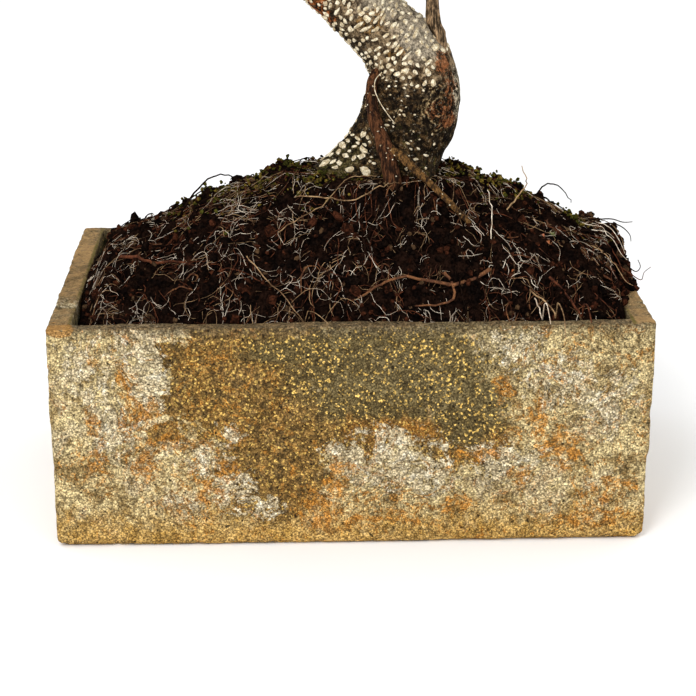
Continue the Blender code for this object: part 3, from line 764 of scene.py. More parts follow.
        # Fine grain, cracks, pale specks and scales
        g.paint(g.mix(fine.band(0.34, 0.66), (0.45, 0.43, 0.41), (1.5, 1.5, 1.48)), 1.0, way="MULTIPLY")
        cracks = g.veins(0.02, 0.006, g.noise(0.006, 4.0, 0.66)) * g.math("ADD_CLAMP", low * 0.9, 0.55)
        g.paint(self.soot, cracks, 0.85)
        g.paint(self.cream, g.noise(0.0019, 4.0, 0.78).band(0.615, 0.665), 0.5)
        scales = g.noise(0.0036, 5.0, 0.8, place).band(0.615, 0.64) * g.math("ADD_CLAMP", low, 0.2)
        g.paint(self.amber_pale_and_highlight, scales, 0.65)
        g.bump(medium, 0.0012, 0.7)
        g.bump(fine - cracks, 0.0005, 0.9)
        return g.finish(fine.band(-1.2, 0.7))


@dataclass(frozen=True)
class Foliage:
    """A leaf: one plain green with faint mottling, glossy and finely uneven."""

    name: str
    green: Triple
    roughness: float = 0.36

    def material(self) -> Material:
        """Mixes the finish.

        Returns:
            The material.
        """
        g = Graph(self.name, self.roughness, 0.5)
        mottle = g.mix(g.noise(0.006).band(0.35, 0.65), (0.86, 0.88, 0.84), (1.1, 1.1, 1.1))
        g.bump(g.noise(0.0022, 2.0), 0.0002, 0.35)
        g.colour = g.mix(1.0, self.green, mottle, "MULTIPLY")
        return g.finish()


# ---------------------------------------------------------------- pot


@dataclass
class Pot:
    """The rectangular pot: thick walls with worn edges, a rim and two drain holes."""

    length: float = 0.3
    depth: float = 0.192
    height: float = 0.116
    end_wall: float = 0.0125
    long_wall: float = 0.0085
    floor: float = 0.012
    corner: float = 0.0028
    foot_round: float = 0.004
    rim_round: float = 0.0013
    drain_radius: float = 0.009
    drain_spacing: float = 0.15
    drain_sides: int = 32
    cell: float = 0.0017
    arc_steps: int = 4
    foot_steps: int = 5
    rim_steps: int = 4

    def outline(self, inset_x: float, inset_y: float) -> Array:
        """Points round the pot, anticlockwise from the far corner of its right end.

        Args:
            inset_x: How far inside the outer faces it runs, along X.
            inset_y: The same along Y.

        Returns:
            Rows of x and y, as many for any inset.
        """
        half = np.array((self.length / 2 - inset_x, self.depth / 2 - inset_y)) - self.corner
        signs = np.array(((1, 1), (-1, 1), (-1, -1), (1, -1)))
        turns = (np.arange(4)[:, None] + np.linspace(0.0, 1.0, self.arc_steps)) * math.pi / 2
        arcs = (signs * half)[:, None] + self.corner * np.stack([np.cos(turns), np.sin(turns)], axis=-1)
        made = []
        for arc, ahead, side in zip(arcs, np.roll(arcs, -1, axis=0), (self.length, self.depth) * 2):
            share = np.linspace(0.0, 1.0, round(side / self.cell) + 1)[1:-1, None]
            made += [arc, arc[-1] * (1 - share) + ahead[0] * share]
        return np.vstack(made)

    def profile(self) -> list[Triple]:
        """The wall's section, from the underside round to the floor.

        Returns:
            Inset along X, inset along Y and height of each point.
        """
        foot, rim, top = self.foot_round, self.rim_round, self.height - self.rim_round
        walls = (self.end_wall, self.long_wall)
        foot_bend, rim_bend = (
            [(math.sin(turn), math.cos(turn)) for turn in np.linspace(0.0, math.pi / 2, count)]
            for count in (self.foot_steps, self.rim_steps)
        )
        rows = [(foot * (1 - s), foot * (1 - s), foot * (1 - c)) for s, c in foot_bend]
        rows += [(0.0, 0.0, level) for level in np.arange(foot + self.cell, top - self.cell / 2, self.cell)]
        rows += [(rim * (1 - c), rim * (1 - c), top + rim * s) for s, c in rim_bend]
        for share in np.linspace(0.0, 1.0, 9)[1:-1]:
            rows.append((*(rim + share * (wall - 2 * rim) for wall in walls), self.height))
        rows += [(*(wall - rim * (1 - s) for wall in walls), top + rim * c) for s, c in rim_bend]
        levels = [*np.arange(top - self.cell, top - 0.014, -self.cell), 0.08, 0.05, self.floor]
        return rows + [(*walls, level) for level in levels]

    def relief(self, place: Array) -> Array:
        """How far the surface stands out of, or lies below, its true face.

        Args:
            place: Points of the face.

        Returns:
            The distance for each point.
        """
        push = 0.0005 * rough(place, 0.055, 2, 11) + 0.00034 * rough(place, 0.008, 3, 21)
        push += 0.0002 * bumps(place, 0.0024, 31) + 0.00035 * step(rough(place, 0.018, 3, 51), 0.05, 0.22)
        return push - 0.0011 * step(bumps(place, 0.0052, 41), 0.62, 0.86) - 0.0004

    def wear(self, place: Array) -> Array:
        """How much is chipped off the corners, the rim's edges and a notch at the right.

        Args:
            place: Points of the true face.

        Returns:
            The depth for each point.
        """
        to_end = self.length / 2 - np.abs(place[..., 0])
        to_long = self.depth / 2 - np.abs(place[..., 1])
        to_top = self.height - place[..., 2]
        edges = np.exp(-(to_end + to_long) / 0.0035)
        edges = edges + np.exp(-(np.minimum(to_end, to_long) + to_top) / 0.0022)
        chips = 0.0004 * rough(place, 0.011, 3, 61) + 0.0012 * step(bumps(place, 0.0085, 71), 0.42, 0.78)
        notch = 0.0011 * step(-place[..., 2], -0.0475, -0.0455) * (place[..., 0] > 0.14)
        return edges * np.clip(chips, 0.0, 1.0) + notch * (to_end < 0.004)

    def build(self, finish: Material) -> None:
        """Builds the pot.

        Args:
            finish: Its material.
        """
        rings = []
        for *inset, level in self.profile():
            flat = self.outline(*inset)
            rings.append(np.column_stack([flat, np.full(len(flat), level)]))
        grid = np.array(rings)
        around = np.roll(grid, -1, axis=1) - np.roll(grid, 1, axis=1)
        out = unit(np.cross(around, np.gradient(grid, axis=0)))
        push = self.relief(grid) - self.wear(grid)
        push[[0, -1]] = 0.0
        made = grid + out * push[..., None]
        made[1:-1, :, 2] = np.maximum(made[1:-1, :, 2], 0.0002)
        parts = [(made, grid_faces(*grid.shape[:2], closed=True)), *self.floor_parts(made[0], made[-1])]
        dress(make_piece("pot_stoneware", parts, [finish]), ["pot"])

    def floor_parts(self, under: Array, inner: Array) -> list[Mesh]:
        """The underside and the floor, both open at the drains, and the drains' walls.

        Args:
            under: The ring where the underside starts.
            inner: The ring where the inner walls meet the floor.

        Returns:
            Their meshes.
        """
        turn = np.arange(self.drain_sides) * (FULL_TURN / self.drain_sides)
        circle = self.drain_radius * np.stack([np.cos(turn), np.sin(turn), 0.0 * turn], axis=1)
        drains = [circle + (side * self.drain_spacing / 2, 0.0, 0.0) for side in (-1, 1)]
        parts = []
        for ring, level, faces_down in ((under, 0.0, True), (inner, self.floor, False)):
            rings = [ring, *(drain + UP * level for drain in drains)]
            faces = np.array(tessellate_polygon([[Vector(point) for point in loop] for loop in rings]))
            points = np.vstack(rings)
            a, b, c = (points[faces[:, k]] for k in range(3))
            wrong = (np.cross(b - a, c - a)[:, 2] > 0) == faces_down
            faces[wrong] = faces[wrong][:, ::-1]
            parts.append((points, faces))
        wall_faces = grid_faces(2, self.drain_sides, closed=True)
        return parts + [(np.array([drain + UP * self.floor, drain]), wall_faces) for drain in drains]


# ---------------------------------------------------------------- soil


class Strand(Enum):
    """Kinds of fine root, with the number of the finish that each takes."""

    WHITE = 0
    TAN = 1
    RED = 2
    DARK = 3
    ORANGE = 4


@dataclass(frozen=True)
class StrandLot:
    """A lot of fine roots: how many of each kind, and how they lie."""

    kind: Strand
    count: int
    reach: Pair
    radius: Pair
    lift: Pair
    curl: float
    level: float = 0.8


@dataclass(frozen=True)
class Clump:
    """A place on the mound where something gathers: its middle, its spread and how much of it there is."""

    middle: Pair
    spread: Pair
    count: int


# Roots that lie in their own places: kind, radius at the foot and at the tip, and x, y and height over
# the soil, all in mm
LAID_ROOTS = (
    (Strand.TAN, (0.32, 0.16), ((-52, -58, 2), (-41, -69, 3), (-33, -76, 4), (-26, -83, 4), (-19, -91, 6),
        (-12, -98.5, 2.5))),
    (Strand.ORANGE, (1.1, 0.5), ((70, -64, 2), (58, -71, 3), (42, -72, 3), (28, -69, 3), (15, -71, 2),
        (4, -76, 1))),
    (Strand.ORANGE, (0.9, 0.4), ((47, -66, 1), (52, -75, 3), (44, -80, 3), (30, -79, 2))),
    (Strand.RED, (1.1, 0.5), ((-118, -35, 1), (-108, -42, 3), (-98, -46, 3), (-88, -49, 2), (-78, -55, 0))),
    (Strand.RED, (0.8, 0.3), ((100, -64, 2), (108, -74, 4), (113, -84, 6), (115, -92.5, 8.5),
        (116.5, -98.5, 1.5))),
    (Strand.TAN, (0.45, 0.2), ((90, -70, 2), (98, -80, 5), (101, -89, 9), (103, -97.5, 4.5),
        (104, -98.5, -6))),
    (Strand.WHITE, (0.35, 0.18), ((92, -74, 2), (94, -85, 6), (95, -93, 9.5), (96.5, -98.5, 1))),
    (Strand.TAN, (0.4, 0.2), ((-30, -28, 1), (-12, -36, 4), (4, -39, 4), (18, -36, 3), (26, -33, 2))),
    (Strand.TAN, (0.3, 0.15), ((-36, -46, 1), (-22, -42, 4), (-8, -36, 5), (6, -31, 5), (14, -29, 4))),
    (Strand.WHITE, (0.28, 0.14), ((72, -48, 1), (73, -40, 8), (71, -34, 14))),
    (Strand.TAN, (0.5, 0.22), ((80, -30, 1), (88, -22, 6), (94, -14, 12), (92, -6, 16))),
    (Strand.DARK, (0.6, 0.25), ((-90, -10, 1), (-80, -6, 9), (-68, -4, 12), (-58, -6, 8), (-50, -10, 1))),
    (Strand.DARK, (0.5, 0.22), ((128, 3, 1), (134, 2, 3), (142, 1, 3.5), (148, 0, 2), (153, -1, 2.5))),
    (Strand.DARK, (0.45, 0.2), ((134, 1, 0), (141, 0, 1.5), (147, -1, 0), (151.5, -2, -4), (152.5, -2, -8))),
    (Strand.DARK, (0.4, 0.2), ((137, -26, -2), (144, -28, -7), (150, -30, -11), (152.5, -31, -8),
        (151, -31, -4))),
    (Strand.RED, (0.35, 0.16), ((138, -33, -4), (146, -34, -9), (152.5, -34, -13), (154, -34, -9),
        (157.5, -34, -6))),
    (Strand.DARK, (0.55, 0.22), ((100, 0, 1), (106, 4, 10), (114, 4, 13), (120, 0, 9))),
    (Strand.WHITE, (0.26, 0.13), ((127, -12, 1), (133, -15, 3), (139, -19, 1.5), (143, -25, -4),
        (146, -28, -6))),
    (Strand.TAN, (0.3, 0.15), ((129, 8, 1), (136, 5, 2.5), (142, -1, 1), (146, -8, -3), (147, -14, -7))),
    (Strand.RED, (0.42, 0.2), ((126, -22, 1), (133, -27, 2.5), (139, -32, -1), (143, -37, -8))),
    (Strand.WHITE, (0.26, 0.13), ((134, 2, 1), (140, -6, 1.5), (144, -13, -2), (146, -21, -6))),
    (Strand.TAN, (0.32, 0.15), ((124, -34, 1), (131, -40, 3), (137, -43, 1), (142, -46, -5), (146, -47, -7))),
    (Strand.WHITE, (0.24, 0.12), ((122, -4, 1), (129, -9, 3), (136, -10, 2.5), (141, -15, 0))),
)


@dataclass
class SoilBed:
    """The mound of root-bound soil: clods, crumbs, a mat of fine roots and moss on its crests."""

    pot: Pot
    top: float = 0.171
    ridge_ends: Pair = (0.128, 0.131)
    ridge_powers: Pair = (1.9, 2.8)
    mound_power: float = 1.9
    below_rim: float = 0.008
    seat_centre: Pair = (0.016, -0.002)
    seat_half: Pair = (0.048, 0.031)
    seat_blend: float = 0.35
    gap: float = 0.0003
    cell: float = 0.0013
    crumb_count: int = 3600
    crumb_size: Pair = (0.0005, 0.002)
    large_share: float = 0.1
    large_size: float = 1.9
    spilt_count: int = 1150
    spilt_size: Pair = (0.0008, 0.0027)
    moss_size: Pair = (0.0005, 0.0013)
    moss_rise: float = 0.0026
    crumb_shares: tuple[float, ...] = (0.56, 0.37, 0.07)
    root_points: int = 11
    laid_jitter: float = 0.0003
    seeds: tuple[int, int, int] = (301, 302, 303)
    lots: tuple[StrandLot, ...] = (
        StrandLot(Strand.WHITE, 1100, (0.007, 0.026), (0.00006, 0.00014), (0.0003, 0.0022), 0.34, 1.2),
        StrandLot(Strand.TAN, 640, (0.008, 0.032), (0.00009, 0.00019), (0.0004, 0.0022), 0.26),
        StrandLot(Strand.RED, 860, (0.009, 0.032), (0.00012, 0.00032), (0.0003, 0.002), 0.28),
        StrandLot(Strand.DARK, 450, (0.01, 0.034), (0.0002, 0.0005), (0.0004, 0.0044), 0.3),
        StrandLot(Strand.ORANGE, 110, (0.008, 0.024), (0.00024, 0.00055), (0.0002, 0.0014), 0.22, 0.6),
    )
    moss: tuple[Clump, ...] = (
        Clump((-0.05, 0.000), (0.02, 0.012), 300), Clump((-0.075, 0.004), (0.01, 0.01), 90),
        Clump((0.06, 0.000), (0.009, 0.012), 150), Clump((0.08, 0.002), (0.01, 0.012), 190),
        Clump((0.124, -0.004), (0.006, 0.012), 90), Clump((-0.012, -0.02), (0.012, 0.008), 130),
        Clump((0.01, 0.05), (0.024, 0.012), 160), Clump((-0.06, 0.05), (0.018, 0.01), 110),
    )

    def __post_init__(self) -> None:
        """Works out the room inside the pot."""
        self.half_x = self.pot.length / 2 - self.pot.end_wall
        self.half_y = self.pot.depth / 2 - self.pot.long_wall

    def from_seat(self, x: Array, y: Array) -> Array:
        """How far points lie from the middle of the trunk's level seat, with 1 on its edge."""
        return np.hypot(*((at - c) / half for at, c, half in zip((x, y), self.seat_centre, self.seat_half)))

    def height(self, x: Array, y: Array) -> Array:
        """Height of the smooth mound, with its level seat for the trunk.

        Args:
            x: Places along the pot.
            y: Places across it.

        Returns:
            The height at each.
        """
        share = np.minimum(1.0, np.abs(x) / self.half_x)
        left, right = (
            self.top - (self.top - end) * share**power
            for end, power in zip(self.ridge_ends, self.ridge_powers)
        )
        edge = self.pot.height - self.below_rim
        across = 1.0 - np.minimum(1.0, np.abs(y) / self.half_y) ** self.mound_power
        mound = edge + (np.where(x > 0.0, right, left) - edge) * across
        ditch = 0.012 * step(-x, self.half_x - 0.013, self.half_x - 0.003)
        ditch = ditch + 0.006 * hill((x - 0.135) / 0.008, (y + 0.085) / 0.01)
        heap = 0.009 * hill((x - 0.141) / 0.012, (y - 0.006) / 0.042)
        blend = step(self.from_seat(x, y), 1.0, 1.0 + self.seat_blend)
        return self.top + (mound - self.top) * blend - ditch + heap

    def swell(self, x: Array, place: Array, height: float) -> Array:
        """Wide swells of a given height, with a dip in the left part of the mound."""
        return height * bumps(place, 0.03, 97) - 0.0035 * hill((x + 0.098) / 0.022)

    def mat(self, x: Array, y: Array) -> Array:
        """Height at which fine roots lie, bridging the hollows between the clods."""
        place = np.stack([x, y, np.zeros_like(x)], axis=-1)
        return self.height(x, y) + self.swell(x, place, 0.002) + 0.001 * bumps(place, 0.014, 99)

    def surface(self, x: Array, y: Array) -> Array:
        """Height of the soil with its clods and hollows.

        Args:
            x: Places along the pot.
            y: Places across it.

        Returns:
            The height at each.
        """
        place = np.stack([x, y, np.zeros_like(x)], axis=-1)
        clods = 0.0085 * (np.abs(rough(place, 0.015, 2, 81)) - 0.26)
        lumps = 0.0042 * (np.abs(bumps(place, 0.0062, 91)) - 0.35)
        share = 0.35 + 0.65 * step(self.from_seat(x, y), 0.75, 1.15)
        to_wall = np.minimum(self.half_x - np.abs(x), self.half_y - np.abs(y))
        share = share * (0.4 + 0.6 * step(to_wall, 0.0, 0.008))
        uneven = (clods + lumps + self.swell(x, place, 0.0022)) * share
        return self.height(x, y) + uneven + 0.0013 * bumps(place, 0.0024, 95)

    def build_bed(self, finish: Material) -> None:
        """Builds the soil itself, a lumpy sheet closed down to the pot's floor.

        Args:
            finish: Its material.
        """
        halves = (self.half_x - self.gap, self.half_y - self.gap)
        x, y = np.meshgrid(*(np.linspace(-half, half, round(2 * half / self.cell)) for half in halves))
        sheet = np.stack([x, y, self.surface(x, y)], axis=-1)
        rim = np.vstack([sheet[0, :-1], sheet[:-1, -1], sheet[-1, :0:-1], sheet[:0:-1, 0]])
        middle = UP * (self.pot.floor + self.gap)
        foot = rim * (1.0, 1.0, 0.0) + middle
        ring = np.arange(len(foot))
        fan = np.stack([np.roll(ring, -1), ring, np.full(len(ring), len(ring))], axis=1)
        parts = (
            (sheet, grid_faces(*x.shape, closed=False)),
            (np.array([foot, rim]), grid_faces(2, len(rim), closed=True)),
            (np.vstack([foot, middle]), fan),
        )
        dress(make_piece("soil_bed", parts, [finish]), ["soil"])

    def scatter(self, dice: Dice, count: int) -> tuple[Array, Array]:
        """The x and the y of random places on the soil."""
        x, y = (dice.uniform(-share, share, count) for share in (0.99, 0.985))
        return x * self.half_x, y * self.half_y

    def spill(self, dice: Dice) -> tuple[Array, Array]:
        """Crumbs in a heap over the back of the right rim.

        Args:
            dice: The random numbers.

        Returns:
            The middle and the size of each.
        """
        count = self.spilt_count
        near = dice.random(count) < 0.45
        y = np.where(near, dice.normal(-0.006, 0.02, count), dice.uniform(-0.064, 0.089, count))
        y = np.clip(y, -0.066, 0.09)
        reach = 0.016 + 0.003 * bumps(np.stack([y, 0 * y, 0 * y], axis=-1), 0.013, 98)
        reach = np.clip(reach - 0.0125 * step(-y, 0.034, 0.054), 0.003, 0.015)
        x = self.half_x - 0.003 + dice.random(count) * reach
        size = dice.uniform(*self.spilt_size, count)
        pile = np.clip((0.014 - (x - self.half_x)) / 0.005, 0.25, 1.0) * step(y, -0.042, 0.004)
        pile = pile * (1.0 - 0.62 * step(y, 0.014, 0.06))
        z = self.pot.height + size * 0.4 + dice.random(count) * 0.0185 * pile
        return np.stack([x, y, z], axis=1), size

    def build_crumbs(self, finishes: Sequence[Material]) -> None:
        """Builds the loose crumbs, on the mound and over the rim, and the moss.

        Args:
            finishes: Three of the crumbs and two of the moss.
        """
        dice = np.random.default_rng(self.seeds[0])
        x, y = self.scatter(dice, self.crumb_count)
        size = dice.uniform(*self.crumb_size, len(x))
        size *= np.where(dice.random(len(x)) < self.large_share, self.large_size, 1.0)
        loose = np.stack([x, y, self.surface(x, y) + 0.15 * size], axis=1)
        spilt, spilt_size = self.spill(dice)
        x, y = (
            np.concatenate([dice.normal(at.middle[k], at.spread[k], at.count) for at in self.moss])
            for k in (0, 1)
        )
        moss_size = dice.uniform(*self.moss_size, len(x))
        moss = np.stack([x, y, self.surface(x, y) + dice.uniform(0.0, self.moss_rise, len(x))], axis=1)
        tint = dice.choice(3, len(loose) + len(spilt), p=self.crumb_shares)
        tint = np.append(tint, dice.choice((3, 4), len(moss), p=(0.5, 0.5)))
        sizes = np.concatenate([size, spilt_size, moss_size])
        points, faces = crumbs(dice, np.vstack([loose, spilt, moss]), sizes)
        tints = np.repeat(tint, len(faces) // len(tint))
        dress(make_piece("soil_crumbs", [(points, faces, tints)], finishes, smooth=False))

    def lay(self, dice: Dice, lot: StrandLot) -> Array:
        """Paths of fine roots that wander over the soil.

        Args:
            dice: The random numbers.
            lot: How many there are, and their reach, lift and curl.

        Returns:
            Their paths, as (roots, points, 3).
        """
        count, points = lot.count, self.root_points
        x, y = self.scatter(dice, count)
        heading = dice.normal(0.0, lot.level, count) + math.pi * (dice.random(count) < 0.5)
        turns = np.cumsum(dice.normal(0.0, lot.curl, (count, points)), axis=1)
        angle = heading[:, None] + turns + dice.normal(0.0, 0.2, (count, 1)) * np.arange(points)
        stride = (dice.uniform(*lot.reach, count) / (points - 1))[:, None]
        x = x[:, None] + np.cumsum(np.cos(angle) * stride, axis=1)
        y = y[:, None] + np.cumsum(np.sin(angle) * stride, axis=1)
        x, y = (
            np.sign(at) * (limit - np.abs(limit - np.abs(at)))
            for at, limit in ((x, self.half_x - 0.001), (y, self.half_y - 0.001))
        )
        arch = np.sin(math.pi * np.linspace(0.0, 1.0, points)) ** 0.8
        lift = dice.uniform(*lot.lift, count)[:, None] * arch
        low = dice.uniform(-0.0012, 0.001, count)[:, None] + dice.normal(0.0, 0.00012, (count, points))
        return np.stack([x, y, self.mat(x, y) + lift + low], axis=-1)

    def build_roots(self, finishes: Sequence[Material]) -> None:
        """Builds the mat of fine roots.

        Args:
            finishes: Their materials, in the order of Strand.
        """
        dice = np.random.default_rng(self.seeds[1])
        taper = 1.0 - 0.65 * np.abs(np.linspace(-0.9, 1.0, self.root_points)) ** 3
        parts = []
        for lot in self.lots:
            paths = self.lay(dice, lot)
            thick = dice.uniform(*lot.radius, lot.count)[:, None]
            parts.append((*tubes(paths, thick * taper, 3), lot.kind.value))
        for kind, ends, spots in LAID_ROOTS:
            line = smooth_path(spots, 5)
            x, y = line[:, 0], line[:, 1]
            over_bed = np.abs(y) < self.half_y
            inside = over_bed & (np.abs(x) < self.half_x)
            line[:, 2] += np.where(over_bed, self.mat(np.minimum(x, self.half_x), y), self.pot.height)
            line += self.laid_jitter * dice.normal(size=line.shape) * inside[:, None]
            radii = MM * np.linspace(*ends, len(line))
            parts.append((*tubes(line[None], radii[None], 5), kind.value))
        dress(make_piece("soil_fine_roots", parts, finishes))

    def build_seedling(self, finishes: Sequence[Material]) -> None:
        """Builds a tiny seedling and a few curled bud scales beside it.

        Args:
            finishes: Green and orange.
        """
        dice = np.random.default_rng(self.seeds[2])
        spots = (
            (0.1045, -0.0375, 0.005, 0), (0.1065, -0.038, 0.0042, 0), (0.101, -0.041, 0.0036, 1),
            (0.1035, -0.042, 0.0034, 1), (0.0985, -0.04, 0.003, 1), (0.0815, -0.061, 0.0032, 1),
        )
        share = np.linspace(0.0, 1.0, 7)
        wide = np.sin(math.pi * np.clip(share, 0.03, 0.97)) ** 0.7
        parts = []
        for x, y, size, tint in spots:
            heading = dice.uniform(0.0, FULL_TURN)
            way = np.array((math.cos(heading), math.sin(heading), 0.8))
            foot = np.array((x, y, self.surface(np.array([x]), np.array([y]))[0] + 0.0012))
            spine = foot + way * (size * share)[:, None] - UP * (size * 0.9 * share**2)[:, None]
            across = unit(np.cross(way, UP)) * 0.3
            rows = [spine + (across * k + UP * (0.12 * abs(k))) * (size * wide)[:, None] for k in (-1, 0, 1)]
            parts.append((np.stack(rows, axis=1), grid_faces(len(share), 3, closed=False), tint))
        dress(make_piece("soil_seedling", parts, finishes))


def crumbs(dice: Dice, centres: Array, sizes: Array) -> Mesh:
    """Lumpy grains of twenty faces.

    Args:
        dice: The random numbers.
        centres: The middle of each grain.
        sizes: The mean radius of each.

    Returns:
        Their points and faces.
    """
    gold = (1.0 + math.sqrt(5.0)) / 2.0
    corners = [(0.0, a, b * gold) for a in (-1, 1) for b in (-1, 1)]
    ball = unit(np.array([c[k:] + c[:k] for c in corners for k in range(3)], float))
    near = np.linalg.norm(ball[:, None] - ball[None], axis=-1) < 1.1
    faces = np.array([face for face in combinations(range(12), 3) if near[np.ix_(face, face)].all()])
    a, b, c = (ball[faces[:, k]] for k in range(3))
    inward = np.sum(np.cross(b - a, c - a) * a, axis=1) <= 0
    faces[inward] = faces[inward][:, ::-1]
    count = len(centres)
    shape = ball[None] * dice.uniform(0.65, 1.3, (count, 12, 1)) * dice.uniform(0.6, 1.15, (count, 1, 3))
    spin = np.linalg.qr(dice.normal(size=(count, 3, 3)))[0]
    spin *= np.sign(np.linalg.det(spin))[:, None, None]
    points = centres[:, None] + np.einsum("nij,nkj->nki", spin, shape) * sizes[:, None, None]
    return points, repeated(faces, count, 12)


# ---------------------------------------------------------------- limbs


Relief = Callable[["Limb", Array, Array, Array], Array]


def plain_relief(limb: "Limb", place: Array, along: Array, angle: Array) -> Array:
    """Long grooves and small lumps, as on young bark and on roots in the air.

    Args:
        limb: The limb.
        place: Points of its smooth skin.
        along: How far along the limb each lies.
        angle: Its angle round the limb.

    Returns:
        How far each point is pushed out.
    """
    thick = limb.thick(along)
    coiled = np.stack([along * 0.22, np.cos(angle) * thick, np.sin(angle) * thick], axis=-1)
    return thick * (0.24 * rough(coiled, 0.0015, 2, limb.seed) + 0.12 * bumps(place, 0.006, limb.seed + 9))


@dataclass
class Limb:
    """A round, tapering limb, whose skin can be asked for at any length along it and angle round it.

    Angle 0 faces the front, and 90 degrees the right-hand side of a limb that stands upright.
    """

    stations: Array
    seed: int
    relief: Relief = plain_relief
    foot: Callable[[Array], Array] | None = None

    def __post_init__(self) -> None:
        """Works out the heart line, its length and the directions across it."""
        self.line, self.radius = self.stations[:, :3], self.stations[:, 3]
        self.arc = np.append(0.0, np.cumsum(np.linalg.norm(np.diff(self.line, axis=0), axis=1)))
        self.length = float(self.arc[-1])
        ways = unit(np.gradient(self.line, self.arc, axis=0))
        front = np.array((0.0, -1.0, 0.0)) if abs(ways[0, 1]) < 0.7 else UP
        rows = []
        for way in ways:
            front = unit(front - way * np.dot(front, way))
            rows.append(front)
        self.front = np.array(rows)
        self.side = np.cross(ways, self.front)

    def at(self, table: Array, along: Array) -> Array:
        """Values of a table of vectors at places along the limb."""
        return np.stack([np.interp(along, self.arc, table[:, k]) for k in range(3)], axis=-1)

    def thick(self, along: Array | float) -> Array | float:
        """The limb's radius at places along it."""
        return np.interp(along, self.arc, self.radius)

    def skin(self, along: Array, angle: Array, lift: Array | float = 0.0) -> Array:
        """Points on the limb's rough skin.

        Args:
            along: Length along the limb of each point.
            angle: Angle round it.
            lift: How far above the skin the point lies.

        Returns:
            The points.
        """
        spoke = self.at(self.front, along) * np.cos(angle)[..., None]
        out = unit(spoke + self.at(self.side, along) * np.sin(angle)[..., None])
        place = self.at(self.line, along) + out * self.thick(along)[..., None]
        if self.foot:
            place = self.foot(place)
        return place + out * (self.relief(self, place, along, angle) + lift)[..., None]

    def mesh(self, spacing: float, columns: int) -> Mesh:
        """The limb's skin as a closed mesh.

        Args:
            spacing: Distance from one ring to the next.
            columns: Points in a ring.

        Returns:
            Its points and faces.
        """
        along = np.linspace(0.0, self.length, max(6, round(self.length / spacing)))
        angle = np.arange(columns) * (FULL_TURN / columns)
        grid = self.skin(*np.meshgrid(along, angle, indexing="ij"))
        (foot, foot_ring), (tip, tip_ring) = (
            (np.repeat(ring.mean(axis=0)[None], columns, axis=0), ring) for ring in (grid[0], grid[-1])
        )
        caps = ([foot, foot + (foot_ring - foot) * 0.7], [tip + (tip_ring - tip) * 0.7, tip])
        grid = np.concatenate([caps[0], grid, caps[1]])
        return grid, grid_faces(len(grid), columns, closed=True)


@dataclass(frozen=True)
class Wart:
    """One pale, raised pore of the bark: where it lies and its half sizes along and round the limb."""

    along: float
    angle: float
    half_along: float
    half_round: float
    rise: float


class Pore(Enum):
    """Kinds of pore on the trunk: half size along it, width as a multiple of that, and rise."""

    FLAKE = ((0.0006, 0.0016), (0.75, 2.2), 0.0007)
    CROSSWISE = ((0.00068, 0.00105), (1.7, 4.0), 0.00055)
    ROUND = ((0.0009, 0.0017), (0.85, 1.25), 0.00075)
    SMALL = ((0.00035, 0.0008), (0.85, 2.2), 0.0004)


def wart_mesh(limb: Limb, warts: Sequence[Wart], dice: Dice, sides: int = 7) -> tuple[Array, Array, Array]:
    """Domes on a limb's skin, each with a dark rim of painted shade round its foot.

    Args:
        limb: The limb that carries them.
        warts: The domes.
        dice: Random numbers for their ragged outlines.
        sides: Points round each dome.

    Returns:
        Their points, their faces and the finish number of each face: 0 pale, 1 the rim of painted shade.
    """
    rings = ((1.42, -0.55), (1.08, 0.1), (0.8, 0.85), (0.0, 1.0))  # Shares of the half size and of the rise
    along, angle, half_along, half_round, rise = (
        column[:, None] for column in np.array([astuple(wart) for wart in warts]).T
    )
    count = len(warts)
    turn = np.arange(sides) * (FULL_TURN / sides)
    ragged = dice.uniform(0.66, 1.22, (count, sides))
    lean = dice.uniform(-0.35, 0.35, count)[:, None]
    points = []
    for share, height in rings:
        over = half_round * np.sin(turn) * (share * ragged)
        ahead = half_along * np.cos(turn) * (share * ragged) + lean * over
        spots = np.clip(along + ahead, 0.0, limb.length)
        points.append(limb.skin(spots, angle + over / limb.thick(spots), rise * height * np.ones(sides)))
    faces = repeated(grid_faces(len(rings), sides, closed=True), count, len(rings) * sides)
    # The sunken outer band takes finish 1, painted shade round the foot of each dome
    return np.stack(points, axis=1), faces, np.tile(np.repeat((1, 0, 0), sides), count)


def tapered(points: Array, radii: Pair, swell: float = 0.0) -> Array:
    """A line's points with a radius for each.

    Args:
        points: The heart line, as rows.
        radii: Radius at the foot and at the tip.
        swell: How much thicker the very foot is, as a share.

    Returns:
        Rows of x, y, z and radius.
    """
    share = np.linspace(0.0, 1.0, len(points))
    thick = radii[0] + (radii[1] - radii[0]) * share
    return np.column_stack([points, thick * (1.0 + swell * np.exp(-share / 0.12))])


# Heart lines, in mm; the trunk's also has its radius
TRUNK_STATIONS = (
    (21.5, 0, 156, 23), (24, 0, 172, 22.8), (28.2, 0, 186, 23), (33.4, 0, 200, 24.4), (35, 0, 214, 24.5),
    (32, 0, 228, 22.2), (24, 0, 240, 19), (14, 0, 249.8, 17.4), (3.3, 0, 260, 16.9), (-20, 3, 281, 16.2),
    (-42, 7, 304, 15.4), (-55, 10, 333, 14.4), (-54, 8, 364, 13.2), (-38, 3, 393, 11.9),
    (-15, -3, 420, 10.5), (2, -8, 450, 8.9), (4, -11, 484, 6.6), (-1, -12, 516, 4.4),
)
AERIAL_ROOT = (
    (24, -5, 234), (16.5, -11, 227.5), (12.2, -16.5, 217), (13.5, -20.5, 204), (17.5, -25, 192),
    (21.5, -28.5, 180), (23.5, -30, 165),
)
GROUND_ROOT = (
    (19.5, -26.2, 190), (30, -30, 182.2), (41.9, -33.5, 171.7), (51.3, -36, 162.7), (62, -39.5, 152),
)
STRAND_ON_BARK = (
    (17.5, -19, 226.5), (14.2, -20, 222.8), (13.8, -21.2, 218), (16, -22.6, 212.5), (19.5, -23.6, 207),
    (24, -23.8, 201),
)
